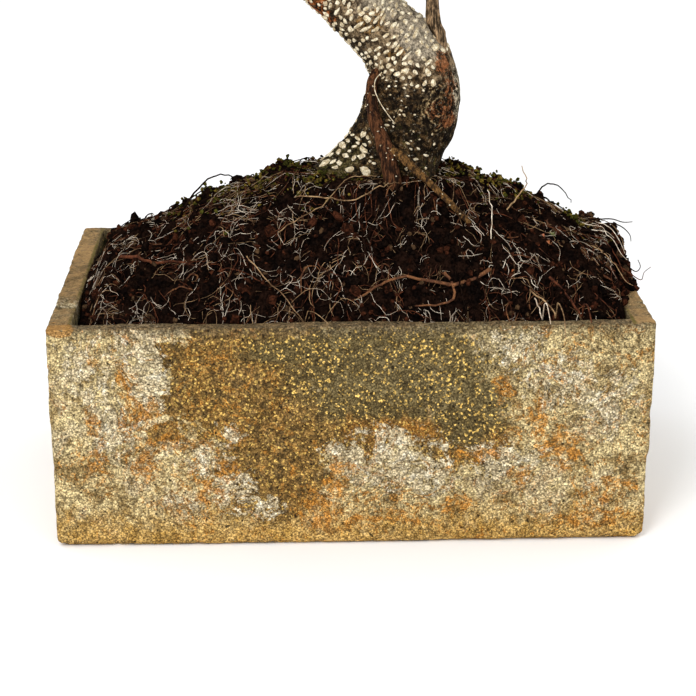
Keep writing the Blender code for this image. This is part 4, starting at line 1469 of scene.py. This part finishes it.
SIDE_STEM = (
    (45, 0, 212), (50, -3, 224), (48, -6.5, 238), (44.8, -7, 251), (43.5, -7, 266), (44, -7, 290),
    (54, -8, 314), (76, -9, 330),
)
# Root flare: heading in degrees, reach at the soil, height over which it dies away, half width in degrees
ROOT_FLARES = (
    (182.0, 0.0215, 0.0135, 36.0), (118.0, 0.01, 0.011, 26.0), (62.0, 0.009, 0.01, 26.0),
    (-50.0, 0.006, 0.008, 24.0),
)
# Boughs: share of the trunk's line at which each leaves it, tip, radius at the trunk and at the tip
BOUGHS = {
    "left": (0.5, (-0.118, -0.014, 0.344), (0.0068, 0.0042)),
    "back": (0.56, (-0.062, 0.066, 0.378), (0.0062, 0.0038)),
    "front_left": (0.66, (-0.074, -0.048, 0.408), (0.0056, 0.0035)),
    "right": (0.71, (0.05, 0.013, 0.424), (0.0062, 0.0038)),
    "back_right": (0.77, (0.03, 0.06, 0.448), (0.005, 0.0034)),
    "front_right": (0.83, (0.034, -0.052, 0.46), (0.0048, 0.0033)),
    "left_high": (0.87, (-0.06, 0.008, 0.484), (0.0046, 0.0032)),
}


@dataclass
class Trunk:
    """The S-shaped trunk: lumpy bark with pale pores, a scar with folds round it and a root flare."""

    cut: float = 0.1713
    flare_centre: Pair = (0.024, 0.0)
    flare_top: float = 0.214
    smooth_above: float = 0.222
    scar_centre: Triple = (0.046, -0.02, 0.208)
    knot_centres: tuple[Triple, ...] = (
        (0.0245, -0.019, 0.2365), (0.014, -0.017, 0.2525), (-0.05, -0.006, 0.33), (0.01, 0.016, 0.262),
    )
    spacing: float = 0.001
    columns: int = 150
    wart_tries: int = 34000
    widest: float = 0.0245
    scar_reach: float = 0.0115
    flake_top: float = 0.193
    flake_right: float = 0.012
    lowest_wart: float = 0.176
    lean: float = 0.22
    crosswise_above: float = 0.24
    dense_above: float = 0.236
    round_above: float = 0.228
    some_above: float = 0.226
    seed: int = 401

    def __post_init__(self) -> None:
        """Sets up the limb."""
        self.limb = Limb(smooth_path(TRUNK_STATIONS, 14), 7, self.relief, self.flare)

    def flare(self, place: Array) -> Array:
        """Spreads the foot of the trunk into its root flare.

        Args:
            place: Points of the round trunk.

        Returns:
            The spread points.
        """
        away = place[..., :2] - self.flare_centre
        heading = np.degrees(np.arctan2(away[..., 1], away[..., 0]))
        rise = np.maximum(0.0, place[..., 2] - self.cut)
        push = np.zeros(rise.shape)
        for direction, reach, fade, half_width in ROOT_FLARES:
            turn = (heading - direction + 180.0) % 360.0 - 180.0
            push += reach * np.exp(-rise / fade) * hill(turn / half_width)
        push *= 1.0 - step(place[..., 2], self.flare_top - 0.004, self.flare_top)
        made = place.copy()
        made[..., :2] += unit(away) * push[..., None]
        return made

    def relief(self, limb: Limb, place: Array, along: Array, angle: Array) -> Array:
        """How far the bark stands out of the smooth trunk.

        Args:
            limb: The trunk's limb.
            place: Points of its smooth skin.
            along: How far along the limb each lies.
            angle: Its angle round the limb.

        Returns:
            How far each point is pushed out.
        """
        thick = limb.thick(along)
        coiled = np.stack([along, angle * thick * 0.22, place[..., 1] * 0.3], axis=-1)
        wrinkles = 0.00026 * rough(coiled, 0.0019, 2, 121)
        cracked = 0.00085 * (np.abs(rough(place, 0.005, 3, 131)) - 0.25)
        upper = step(place[..., 2], self.smooth_above - 0.012, self.smooth_above + 0.006)
        push = 0.00085 * rough(place, 0.014, 2, 101) + 0.0003 * bumps(place, 0.0052, 111)
        push = push + upper * wrinkles + (1.0 - upper) * cracked
        away = np.linalg.norm(place - self.scar_centre, axis=-1)
        folds = np.sin(away / 0.0006 + 3.0 * rough(place, 0.006, 2, 141))
        push = push + 0.00045 * folds * hill(away / 0.008)
        for centre in self.knot_centres:
            push = push + 0.0013 * hill(np.linalg.norm(place - centre, axis=-1) / 0.004)
        return push * np.clip(thick / 0.018, 0.35, 1.0)

    def build_bark(self, finish: Material) -> None:
        """Builds the trunk's skin, which runs a little way into the soil."""
        mesh = self.limb.mesh(self.spacing, self.columns)
        dress(make_piece("trunk_bark", [mesh], [finish]), ["trunk"])

    def choose_wart(self, along: float, angle: float, place: Array, dice: Dice) -> Wart | None:
        """Decides what pore a place on the bark gets.

        Args:
            along: Length along the trunk.
            angle: Angle round it, from -pi to pi.
            place: The point itself.
            dice: Random numbers.

        Returns:
            The pore, or None where the bark stays bare.
        """
        x, _, z = place
        thick = self.limb.thick(along)
        scale = min(1.0, 0.45 + 0.55 * thick / 0.017)
        flake = z < self.flake_top and x < self.flake_right
        upper = z + self.lean * x
        crosswise = upper > self.crosswise_above and -0.55 < angle < 1.7
        scarred = np.linalg.norm(place - self.scar_centre) < self.scar_reach
        if scarred or (x > 0.045 and z < self.dense_above) or (z < self.lowest_wart and not flake):
            return None
        below = np.interp(along, self.limb.arc, self.limb.line[:, 2]) - z
        if below > 0.5 * thick and z > self.dense_above and dice.random() < 0.65:
            return None
        chance = 1.0 if flake or upper > self.dense_above else 0.5 if upper > self.some_above else 0.06
        if dice.random() > chance:
            return None
        if flake:
            kind, scale = Pore.FLAKE, 1.0
        elif crosswise and dice.random() < 0.84:
            kind = Pore.CROSSWISE
        else:
            kind = Pore.ROUND if upper > self.round_above else Pore.SMALL
        sizes, widths, rise = kind.value
        size = dice.uniform(*sizes) * scale
        return Wart(along, angle, size, size * dice.uniform(*widths), rise)

    def build_warts(self, finishes: Sequence[Material]) -> None:
        """Builds the pale pores of the bark.

        Args:
            finishes: Finishes of the pores and of their rims, which are painted shade.
        """
        dice = np.random.default_rng(self.seed)
        first = float(np.interp(self.cut, self.limb.line[:, 2], self.limb.arc))
        warts, taken = [], np.zeros((0, 4))
        tries = dice.uniform((first, -math.pi), (self.limb.length - 0.01, math.pi), (self.wart_tries, 2))
        for (along, angle), place in zip(tries.tolist(), self.limb.skin(*tries.T)):
            thick = self.limb.thick(along)
            if dice.random() > thick / self.widest:
                continue
            wart = self.choose_wart(along, angle, place, dice)
            if wart is None:
                continue
            over = np.abs((taken[:, 1] - angle + math.pi) % FULL_TURN - math.pi) * thick
            near_along = np.abs(taken[:, 0] - along) / (taken[:, 2] + wart.half_along + 0.0002)
            near_round = over / (taken[:, 3] + wart.half_round + 0.00025)
            if len(taken) and np.min(np.maximum(near_along, near_round)) < 1.0:
                continue
            warts.append(wart)
            taken = np.vstack([taken, (along, angle, wart.half_along, wart.half_round)])
        dress(make_piece("trunk_pores", [wart_mesh(self.limb, warts, dice, 8)], finishes))


@dataclass
class Roots:
    """The roots that stand above the soil: one down the front of the trunk and one along the mound."""

    aerial_radii: Pair = (0.002, 0.0045)
    ground_radii: Pair = (0.0026, 0.0013)
    strand_radius: float = 0.00024
    spacing: float = 0.0005
    columns: int = 44

    def build(self, wood: Material, brown: Material, specks: Sequence[Material]) -> None:
        """Builds both roots and the pale specks on them.

        Args:
            wood: Finish of the root down the trunk.
            brown: Finish of the root along the mound.
            specks: Finishes of the specks and of their rims, which are painted shade.
        """
        strand = smooth_path(STRAND_ON_BARK, 6)
        dotted = [tubes(strand[None], np.full((1, len(strand)), self.strand_radius), 6)]
        for name, path, radii, seed, finish, count in (
            ("aerial_root", AERIAL_ROOT, self.aerial_radii, 21, wood, 56),
            ("ground_root", GROUND_ROOT, self.ground_radii, 22, brown, 14),
        ):
            limb = Limb(tapered(smooth_path(path, 10), radii), seed)
            wood_parts = [limb.mesh(self.spacing, self.columns)]
            dress(make_piece(name + "_wood", wood_parts, [finish]), [name])
            dice = np.random.default_rng(seed)
            low = (0.004, -math.pi, 0.0002, 0.00025)
            high = (limb.length - 0.004, math.pi, 0.0004, 0.0006)
            spots = [Wart(*dice.uniform(low, high), 0.0002) for _ in range(count)]
            dotted.append(wart_mesh(limb, spots, dice))
        dress(make_piece("root_specks", dotted, specks))


@dataclass
class Boughs:
    """The seven boughs and the side stem, each a limb under the name of the mass that it carries."""

    stem_radii: Pair = (0.0042, 0.0028)
    rise: float = 0.12
    spacing: float = 0.0011
    columns: int = 36
    stem_spacing: float = 0.0006
    stem_columns: int = 44
    pore_count: int = 70
    pore_size: Pair = (0.00035, 0.0008)
    pore_rise: float = 0.00028
    seed: int = 402

    def __post_init__(self) -> None:
        """Works out the limbs; the trunk's is among them, as it carries the top."""
        stations = smooth_path(TRUNK_STATIONS, 2)
        line = stations[:, :3]
        self.limbs = {}
        for k, (name, (share, tip, radii)) in enumerate(BOUGHS.items()):
            start, end = line[round(share * (len(line) - 1))], np.array(tip)
            middle = (start + end) / 2 + UP * (self.rise * np.linalg.norm(end - start))
            self.limbs[name] = Limb(tapered(bent_path(start, middle, end, 40), radii, 0.5), 31 + k)
        self.limbs["side_stem"] = Limb(tapered(smooth_path(SIDE_STEM, 10), self.stem_radii, 0.3), 41)
        self.limbs["trunk"] = Limb(stations, 7)

    def build(self, finish: Material, specks: Sequence[Material]) -> None:
        """Builds the bark of the boughs and of the side stem, and the pores of the boughs.

        Args:
            finish: Bark.
            specks: Finishes of the pores and of their rims, which are painted shade.
        """
        dice = np.random.default_rng(self.seed)
        skins, dotted = [], []
        for limb in (self.limbs[name] for name in BOUGHS):
            skins.append(limb.mesh(self.spacing, self.columns))
            warts = [
                Wart(dice.uniform(0.012, limb.length - 0.002), dice.uniform(-math.pi, math.pi), size,
                     size * dice.uniform(1.0, 2.4), self.pore_rise)
                for size in dice.uniform(*self.pore_size, self.pore_count)
            ]
            dotted.append(wart_mesh(limb, warts, dice))
        stem = [self.limbs["side_stem"].mesh(self.stem_spacing, self.stem_columns)]
        dress(make_piece("boughs_bark", skins, [finish]), ["bough_" + name for name in BOUGHS])
        dress(make_piece("side_stem_bark", stem, [finish]), ["side_stem"])
        dress(make_piece("bough_pores", dotted, specks))


# ---------------------------------------------------------------- crown


# Masses of foliage, by the limb that carries each: centre, half size and seed
MASSES = {
    "left": ((-0.158, -0.02, 0.364), (0.07, 0.062, 0.04), 11),
    "back": ((-0.07, 0.098, 0.402), (0.066, 0.056, 0.04), 12),
    "front_left": ((-0.092, -0.088, 0.436), (0.062, 0.054, 0.038), 13),
    "right": ((0.098, 0.028, 0.448), (0.064, 0.058, 0.04), 14),
    "back_right": ((0.042, 0.096, 0.486), (0.062, 0.054, 0.04), 15),
    "front_right": ((0.05, -0.086, 0.478), (0.06, 0.054, 0.038), 16),
    "left_high": ((-0.098, 0.018, 0.514), (0.062, 0.058, 0.04), 17),
    "side_stem": ((0.126, -0.014, 0.36), (0.068, 0.062, 0.04), 18),
    "trunk": ((0.002, -0.008, 0.566), (0.074, 0.068, 0.05), 19),
}


class Space:
    """Room that one mass may fill: its own ellipsoid, short of its neighbours' and clear of every limb."""

    margin = 0.0008

    def __init__(self, name: str, limbs: dict[str, Limb]) -> None:
        """Sets up the room.

        Args:
            name: The mass that it is for.
            limbs: All limbs, by the mass that each carries.
        """
        self.centre, self.half = (np.array(row) for row in MASSES[name][:2])
        self.low, self.high = (np.array(corner) + way * self.margin for corner, way in zip(CAD_BOX, (1, -1)))
        self.limb_places = np.vstack([limb.line for limb in limbs.values()])
        self.limb_radii = np.concatenate([limb.radius for limb in limbs.values()])
        self.walls = []
        for far, far_half, _ in (mass for other, mass in MASSES.items() if other != name):
            between = far - self.centre
            distance = float(np.linalg.norm(between))
            way = between / distance
            mine, theirs = (1.0 / np.linalg.norm(way / half) for half in (self.half, far_half))
            self.walls.append((way, distance * mine / (mine + theirs) - self.margin))

    def holds(self, places: Array, limit: float, clearance: float) -> bool:
        """Whether points lie within the mass and the solids' box, clear of neighbours and limbs.

        Args:
            places: The points.
            limit: How far out they may lie, with 1 at the mass's skin.
            clearance: How far off neighbours and limbs they must be.

        Returns:
            True if all of them do.
        """
        away = places - self.centre
        if np.any(np.linalg.norm(away / self.half, axis=-1) >= limit):
            return False
        if np.any(places < self.low) or np.any(places > self.high):
            return False
        if any(np.any(away @ way >= wall - clearance) for way, wall in self.walls):
            return False
        gaps = np.linalg.norm(places[:, None] - self.limb_places[None], axis=-1) - self.limb_radii
        return bool(np.all(gaps > clearance))


@dataclass(frozen=True)
class Twig:
    """One twig: its points, its radius at the foot and at the tip, and the share of it that is bare."""

    points: Array
    radii: Pair
    bare: float

    def at(self, share: float, limit: float = 1.0) -> tuple[Array, Array]:
        """A place on the twig.

        Args:
            share: How far along it.
            limit: How far into one stretch of the twig the place may lie, as a share of it.

        Returns:
            The place, and the way that the twig runs there.
        """
        place = share * (len(self.points) - 1)
        i = min(int(place), len(self.points) - 2)
        stretch = self.points[i + 1] - self.points[i]
        return self.points[i] + stretch * min(place - i, limit), unit(stretch)


class Tint(Enum):
    """Greens of the leaves, with the number of the finish that each takes."""

    DEEP = 0
    MID = 1
    FRESH = 2
    YOUNG = 3


def side_of(direction: Array, around: float) -> Array:
    """A unit vector square to a direction.

    Args:
        direction: The direction.
        around: Angle about it, from level.

    Returns:
        The vector.
    """
    level = np.cross(direction, UP)
    level = unit(level) if np.linalg.norm(level) >= 1e-3 else np.array((1.0, 0.0, 0.0))
    return level * math.cos(around) + unit(np.cross(level, direction)) * math.sin(around)


@dataclass
class Crown:
    """Nine masses of twigs and leaves, which branch by one rule from the tips of the limbs."""

    limbs: dict[str, Limb]
    stem_drop: float = 0.1
    shoots: int = 11
    shoot_spread: float = 0.74
    shoot_heights: Pair = (0.42, -0.12)
    shoot_sag: float = 0.1
    twig_places: tuple[float, ...] = (0.3, 0.44, 0.57, 0.7, 0.82, 0.92)
    twig_turn: Pair = (42.0, 66.0)
    twig_reach: Pair = (0.36, 0.56)
    twig_clearance: float = 0.002
    sprig_places: tuple[float, ...] = (0.45, 0.75)
    sprig_reach: Pair = (0.35, 0.5)
    stem_tip: float = 0.0013
    shoot_radii: Pair = (0.0016, 0.0009)
    twig_radii: Pair = (0.001, 0.0006)
    sprig_radii: Pair = (0.0006, 0.0004)
    upturn: float = 0.2
    stem_share: float = 0.97
    leaf_length: Pair = (0.017, 0.027)
    leaf_width: float = 0.58
    leaf_droop: float = 0.12
    leaf_spacing: float = 0.0056
    leaf_overhang: float = 1.1
    leaf_jitter: float = 0.24
    leaf_apart: float = 0.0043
    leaf_clearance: float = 0.001
    leaf_lean: Pair = (38.0, 72.0)
    last_lean: float = 10.0
    leaf_flatness: float = 0.75
    green_shares: Triple = (0.5, 0.36, 0.14)
    young_share: float = 0.22
    small_share: float = 0.35
    small_size: float = 0.62
    bud_length: Pair = (0.003, 0.007)
    leaf_seed: int = 501

    def turn(self, dice: Dice, right: bool) -> float:
        """A random angle at which a twig leaves another, negative to the left."""
        return math.radians(dice.uniform(*self.twig_turn)) * (1 if right else -1)

    def grow_branch(self, parent: Twig, share: float, turn: float, reach: float, radii: Pair) -> Twig:
        """A twig that leaves another to one side and rises a little.

        Args:
            parent: The twig that it leaves.
            share: How far along the parent.
            turn: Angle between the two.
            reach: The new twig's length.
            radii: Its radius at the foot and at the tip.

        Returns:
            The twig.
        """
        root, along = parent.at(share)
        way = unit(along * math.cos(turn) + side_of(along, 0.0) * math.sin(turn) + UP * self.upturn)
        middle = root + unit(along + way) * (0.5 * reach)
        return Twig(bent_path(root, middle, root + way * reach, 4), radii, 0.12)

    def grow_mass(self, name: str, space: Space, dice: Dice) -> list[Twig]:
        """The twigs of one mass: a stem, shoots that fan out from it, twigs on them and sprigs on those.

        Args:
            name: The mass.
            space: Its room.
            dice: Random numbers.

        Returns:
            The twigs, the stem first.
        """
        limb = self.limbs[name]
        start, heading = limb.line[-1], unit(limb.line[-1] - limb.line[-2])
        low = space.centre - UP * (self.stem_drop * space.half[2])
        bend = start + heading * (0.5 * np.linalg.norm(low - start))
        radii = (limb.radius[-1] * self.stem_share, self.stem_tip)
        stem = Twig(bent_path(start, bend, low, self.shoots + 1), radii, 0.6)
        found = [stem]
        inner, outer = self.shoot_heights
        for rank in range(self.shoots):
            share = math.sqrt((self.shoots - rank) / self.shoots)
            around = rank * GOLDEN_ANGLE + dice.uniform(-0.2, 0.2)
            out = share * self.shoot_spread
            height = inner + (outer - inner) * share * share
            away = np.array((out * math.cos(around), out * math.sin(around), height))
            target = space.centre + space.half * away
            base = stem.points[1 + rank] if rank else (stem.points[1] + stem.points[2]) / 2
            reach = float(np.linalg.norm(target - base))
            middle = (base + target) / 2 - UP * (self.shoot_sag * reach)
            shoot = Twig(bent_path(base, middle, target, 8), self.shoot_radii, 0.25)
            if not space.holds(shoot.points[2:], 1.0, self.twig_clearance):
                continue
            found.append(shoot)
            for k, place in enumerate(self.twig_places):
                turn = self.turn(dice, (k + rank) % 2 == 1)
                length = reach * dice.uniform(*self.twig_reach) * (1.15 - 0.55 * place)
                twig = self.grow_branch(shoot, place, turn, length, self.twig_radii)
                if not space.holds(twig.points[1:], 1.0, self.twig_clearance):
                    continue
                found.append(twig)
                for m, spot in enumerate(self.sprig_places):
                    turn = self.turn(dice, m % 2 == 1)
                    short = length * dice.uniform(*self.sprig_reach)
                    sprig = self.grow_branch(twig, spot, turn, short, self.sprig_radii)
                    if space.holds(sprig.points[1:], 1.02, self.twig_clearance):
                        found.append(sprig)
        return found

    def place_leaves(self, twigs: Sequence[Twig], space: Space, dice: Dice) -> Iterator[Array]:
        """The leaves that fit on a mass's twigs.

        Args:
            twigs: Its twigs.
            space: Its room.
            dice: Random numbers.

        Yields:
            The foot, the way along, the way the face looks, the length and the tint of each leaf, in a row.
        """
        taken = np.zeros((0, 3))
        for rank, twig in enumerate(twigs):
            length = float(np.sum(np.linalg.norm(np.diff(twig.points, axis=0), axis=1)))
            count = max(2, int(length * (1 - twig.bare) / self.leaf_spacing))
            spray = Tint(int(dice.choice(3, p=self.green_shares)))
            for k in range(count + 1):
                last = k == count
                root, along = twig.at(twig.bare + (1 - twig.bare) * k / count, 0.97)
                lean = math.radians(self.last_lean if last else dice.uniform(*self.leaf_lean))
                way = along * math.cos(lean) + side_of(along, k * GOLDEN_ANGLE + rank) * math.sin(lean)
                way = unit(way * (1.0, 1.0, self.leaf_flatness))
                normal = UP + unit(root - space.centre) * 0.35 + dice.uniform(-1, 1, 3) * self.leaf_jitter
                normal = unit(normal - way * np.dot(normal, way))
                size = dice.uniform(*self.leaf_length)
                size *= self.small_size if last and dice.random() < self.small_share else 1.0
                middle = root + way * (0.5 * size)
                if len(taken) and np.min(np.linalg.norm(taken - middle, axis=1)) < self.leaf_apart:
                    continue
                across = np.cross(normal, way) * (0.5 * self.leaf_width * size)
                probes = np.array([root + way * size, middle + across, middle - across, middle])
                if not space.holds(probes, self.leaf_overhang, self.leaf_clearance):
                    continue
                taken = np.vstack([taken, middle])
                tint = Tint.YOUNG if last and dice.random() < self.young_share else spray
                yield np.hstack((root, way, normal, size, tint.value))

    def leaf_mesh(self, leaves: Array, dice: Dice) -> tuple[Array, Array, Array]:
        """Leaves folded along their midribs, each with a stalk and a drawn-out tip.

        Args:
            leaves: Rows of foot, way, normal, length and tint.
            dice: Random numbers.

        Returns:
            Their points, their faces and the tint of each face.
        """
        count = len(leaves)
        foot, way, normal = (leaves[:, None, 3 * k:3 * k + 3] for k in range(3))
        size, tint = leaves[:, 9:10], leaves[:, 10].astype(int)
        across = np.cross(normal, way)
        shares = np.array((0.0, 0.1, 0.2, 0.36, 0.54, 0.72, 0.88, 1.0))
        widths = np.array((0.02, 0.022, 0.29, 0.455, 0.5, 0.44, 0.25, 0.012)) * self.leaf_width
        folds = dice.uniform(0.1, 0.3, count)[:, None]
        droop = dice.uniform(0.5, 1.6, count)[:, None] * self.leaf_droop
        twist = dice.normal(0.0, 0.1, count)[:, None] * shares
        spine = foot + way * (size * shares)[..., None] - normal * (size * droop * shares**2)[..., None]
        rows = []
        for wide in (sign * widths * size for sign in (-1.0, 0.0, 1.0)):
            lift = np.abs(wide) * folds + wide * twist
            rows.append(spine + across * wide[..., None] + normal * lift[..., None])
        points = np.clip(np.stack(rows, axis=2), *CAD_BOX)
        one = grid_faces(len(shares), len(rows), closed=False)
        return points, repeated(one, count, len(shares) * len(rows)), np.repeat(tint, len(one))

    def twig_meshes(self, twigs: Sequence[Twig]) -> Iterator[Mesh]:
        """The wood of a mass's twigs, one mesh for all that have as many points.

        Args:
            twigs: The twigs.

        Yields:
            Points and faces.
        """
        for count in {len(twig.points) for twig in twigs}:
            batch = [twig for twig in twigs if len(twig.points) == count]
            ends = np.array([twig.radii for twig in batch])
            radii = ends[:, :1] + (ends[:, 1:] - ends[:, :1]) * np.linspace(0.0, 1.0, count)
            sides = 8 if count > 8 else 5 if count > 4 else 3
            yield tubes(np.array([twig.points for twig in batch]), radii, sides)

    def bud_mesh(self, twigs: Sequence[Twig], dice: Dice) -> Mesh:
        """A pointed bud on the tip of every twig.

        Args:
            twigs: The twigs.
            dice: Random numbers.

        Returns:
            The buds' points and faces.
        """
        tips = np.array([twig.points[-1] for twig in twigs])[:, None]
        ways = unit(tips - np.array([twig.points[-2] for twig in twigs])[:, None])
        reach = dice.uniform(*self.bud_length, len(twigs))[:, None, None]
        paths = tips + ways * (np.array((-0.1, 0.4, 1.0))[:, None] * reach)
        paths = np.clip(paths, np.array(CAD_BOX[0]) + MM, np.array(CAD_BOX[1]) - MM)
        return tubes(paths, np.broadcast_to((0.0005, 0.0007, 0.00004), paths.shape[:2]), 3)

    def build(self, greens: Sequence[Material], twig_bark: Material, bud: Material) -> None:
        """Builds all twigs, leaves and buds.

        Args:
            greens: The leaves' finishes, in the order of Tint.
            twig_bark: The twigs' finish.
            bud: The buds' finish.
        """
        leaves, wood, buds = [], [], []
        for name, (_, _, seed) in MASSES.items():
            dice = np.random.default_rng(seed)
            space = Space(name, self.limbs)
            twigs = self.grow_mass(name, space, dice)
            found = list(self.place_leaves(twigs, space, dice))
            LOG.info("%s: %d twigs, %d leaves", name, len(twigs), len(found))
            leaves += found
            wood += self.twig_meshes(twigs)
            buds.append(self.bud_mesh(twigs, dice))
        leaf_parts = [self.leaf_mesh(np.array(leaves), np.random.default_rng(self.leaf_seed))]
        nodes = ["foliage_" + name for name in MASSES]
        dress(make_piece("crown_leaves", leaf_parts, greens), nodes)
        dress(make_piece("crown_twigs", wood, [twig_bark]))
        dress(make_piece("crown_buds", buds, [bud]))


# ---------------------------------------------------------------- studio


@dataclass
class Studio:
    """A plain white floor, soft light all round and a broad lamp in front, and the camera."""

    camera_place: Triple = (-0.0313, -0.9478, 0.3963)
    heading: float = 1.946
    down: float = 18.87
    focal_pixels: float = 1840.5
    frame_pixels: float = 696.0
    sensor: float = 36.0
    floor_half: float = 30.0
    floor_drop: float = 0.0003
    sky: float = 1.1
    lamp_place: Triple = (-0.55, -1.3, 1.25)
    lamp_target: Triple = (0.0, 0.0, 0.12)
    lamp_size: float = 0.5
    lamp_power: float = 15.0

    def build_floor(self) -> None:
        """Lays the floor."""
        corners = np.array(((-1, -1, 0), (1, -1, 0), (1, 1, 0), (-1, 1, 0))) * self.floor_half
        graph = Graph("studio_floor", 0.9, 0.2)
        graph.colour = graph.mix(graph.noise(0.5), (0.955, 0.955, 0.955), (0.97, 0.97, 0.97))
        sheet = (corners - UP * self.floor_drop, np.arange(4)[None])
        make_piece("studio_floor", [sheet], [graph.finish()])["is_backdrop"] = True

    def build_light(self) -> None:
        """Sets the even white light of the room and one broad lamp."""
        world = bpy.data.worlds.new("studio_light")
        world.use_nodes = True
        background = world.node_tree.nodes["Background"]
        background.inputs["Color"].default_value = (1.0, 1.0, 1.0, 1.0)
        background.inputs["Strength"].default_value = self.sky
        bpy.context.scene.world = world
        data = bpy.data.lights.new("softbox", "AREA")
        data.energy = self.lamp_power
        data.size = self.lamp_size
        self.hang(data, self.lamp_place, Vector(self.lamp_target) - Vector(self.lamp_place))

    def build_camera(self) -> None:
        """Sets up the camera and plain, unfiltered colours."""
        data = bpy.data.cameras.new("camera")
        data.sensor_width = self.sensor
        data.lens = self.focal_pixels / self.frame_pixels * self.sensor
        data.clip_start = 0.01
        turn, fall = math.radians(self.heading), math.radians(self.down)
        forward = Vector((math.sin(turn) * math.cos(fall), math.cos(turn) * math.cos(fall), -math.sin(fall)))
        bpy.context.scene.camera = self.hang(data, self.camera_place, forward)
        bpy.context.scene.view_settings.view_transform = "Standard"

    @staticmethod
    def hang(data: bpy.types.ID, place: Triple, forward: Vector) -> Piece:
        """Puts a lamp or a camera in the scene.

        Args:
            data: The lamp or the camera.
            place: Where it stands.
            forward: The way it looks.

        Returns:
            Its object.
        """
        made = bpy.data.objects.new(data.name, data)
        made.location = place
        made.rotation_euler = forward.to_track_quat("-Z", "Y").to_euler()
        bpy.context.scene.collection.objects.link(made)
        return made


def write_sizes() -> None:
    """Works out the solids' box and the dressed model's box as plain lists, which nothing keeps."""
    boxes = {"cad": CAD_BOX, "visual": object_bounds()}
    {name: [list(corner) for corner in box] for name, box in boxes.items()}


# Plainer finishes; the numbers after the two colours follow the fields of their class
SOIL = Speckled(
    "soil_dark", (0.003, 0.0019, 0.0016), (0.0095, 0.0045, 0.003), 0.006, 0.0014, 0.7, depth=0.0008
)
CRUMBS = (
    Speckled("crumb_black", (0.0026, 0.0018, 0.0016), (0.0075, 0.0042, 0.003)),
    Speckled("crumb_red", (0.048, 0.0155, 0.0078), (0.013, 0.0052, 0.0032)),
    Speckled("crumb_tan", (0.085, 0.048, 0.024), (0.036, 0.021, 0.012), contrast=0.5),
    Speckled("moss_olive", (0.14, 0.098, 0.018), (0.048, 0.036, 0.008)),
    Speckled("moss_green", (0.058, 0.056, 0.01), (0.022, 0.021, 0.005)),
)
THREADS = tuple(
    Speckled("root_" + kind.name.lower(), first, second, size, 0.0008, *rest)
    for kind, first, second, size, *rest in (
        (Strand.WHITE, (0.95, 0.83, 0.67), (0.52, 0.4, 0.29), 0.005, 0.25, 0.8, 0.1, 0.0001),
        (Strand.TAN, (0.38, 0.24, 0.12), (0.125, 0.07, 0.034), 0.006, 0.3, 0.8, 0.1, 0.0001),
        (Strand.RED, (0.12, 0.038, 0.017), (0.026, 0.0095, 0.0056), 0.006, 0.3, 0.8, 0.05, 0.0001),
        (Strand.DARK, (0.0055, 0.0034, 0.0026), (0.013, 0.0066, 0.0043), 0.006, 0.3, 0.9, 0.0, 0.0001),
        (Strand.ORANGE, (0.18, 0.075, 0.03), (0.085, 0.034, 0.017), 0.005, 0.4, 0.8, 0.1, 0.0002),
    )
)
SEEDLING = (
    Foliage("seedling_green", (0.13, 0.15, 0.035)), Foliage("seedling_orange", (0.33, 0.09, 0.022)),
)
# Pale pores, and the dark rims round them, which are painted shade
PORES = (
    Speckled("pore_cream", (0.76, 0.67, 0.49), (0.44, 0.34, 0.2), 0.0024, 0.0009, 0.35, 0.85, 0.1),
    Speckled("pore_shade_rim", (0.011, 0.007, 0.004), (0.045, 0.029, 0.016), 0.003, 0.0009, 0.5, 0.9, 0.05),
)
WOODS = (
    Speckled(
        "root_bark_red", (0.092, 0.036, 0.015), (0.014, 0.0066, 0.0038),
        0.002, 0.0007, 0.6, 0.85, 0.05, 0.0004, 0.22,
    ),
    Speckled(
        "root_bark_brown", (0.135, 0.068, 0.022), (0.022, 0.012, 0.006),
        0.0022, 0.0008, 0.75, 0.85, 0.05, 0.0004, 0.5,
    ),
    Speckled(
        "bark_young", (0.265, 0.17, 0.092), (0.03, 0.019, 0.01),
        0.0024, 0.0008, 0.7, 0.8, 0.08, 0.0004, 0.25,
    ),
)
GREENS = (
    Foliage("leaf_deep", (0.034, 0.106, 0.017)), Foliage("leaf_mid", (0.062, 0.158, 0.024)),
    Foliage("leaf_fresh", (0.108, 0.225, 0.034)), Foliage("leaf_young", (0.185, 0.3, 0.052), 0.32),
)
TWIG_BARK = Speckled("twig_bark", (0.2, 0.145, 0.08), (0.115, 0.08, 0.045), 0.004, 0.0008, 0.35, 0.7, 0.3)
BUD = Foliage("bud", (0.22, 0.26, 0.07))


def mixed(*finishes: Speckled | Foliage) -> list[Material]:
    """The finishes as materials."""
    return [finish.material() for finish in finishes]


def main() -> None:
    """Builds and dresses the bonsai from the pot up."""
    logging.basicConfig(level=logging.INFO, format="%(name)s: %(message)s")
    studio = Studio()
    studio.build_camera()
    studio.build_floor()
    studio.build_light()
    pot = Pot()
    pot.build(Stoneware().material())
    soil = SoilBed(pot)
    soil.build_bed(SOIL.material())
    soil.build_crumbs(mixed(*CRUMBS))
    soil.build_roots(mixed(*THREADS))
    soil.build_seedling(mixed(*SEEDLING))
    pores = mixed(*PORES)
    trunk = Trunk()
    trunk.build_bark(Bark().material())
    trunk.build_warts(pores)
    red, brown, young = mixed(*WOODS)
    Roots().build(red, brown, pores)
    boughs = Boughs()
    boughs.build(young, pores)
    Crown(boughs.limbs).build(mixed(*GREENS), TWIG_BARK.material(), BUD.material())
    write_sizes()


if __name__ == "__main__":
    main()
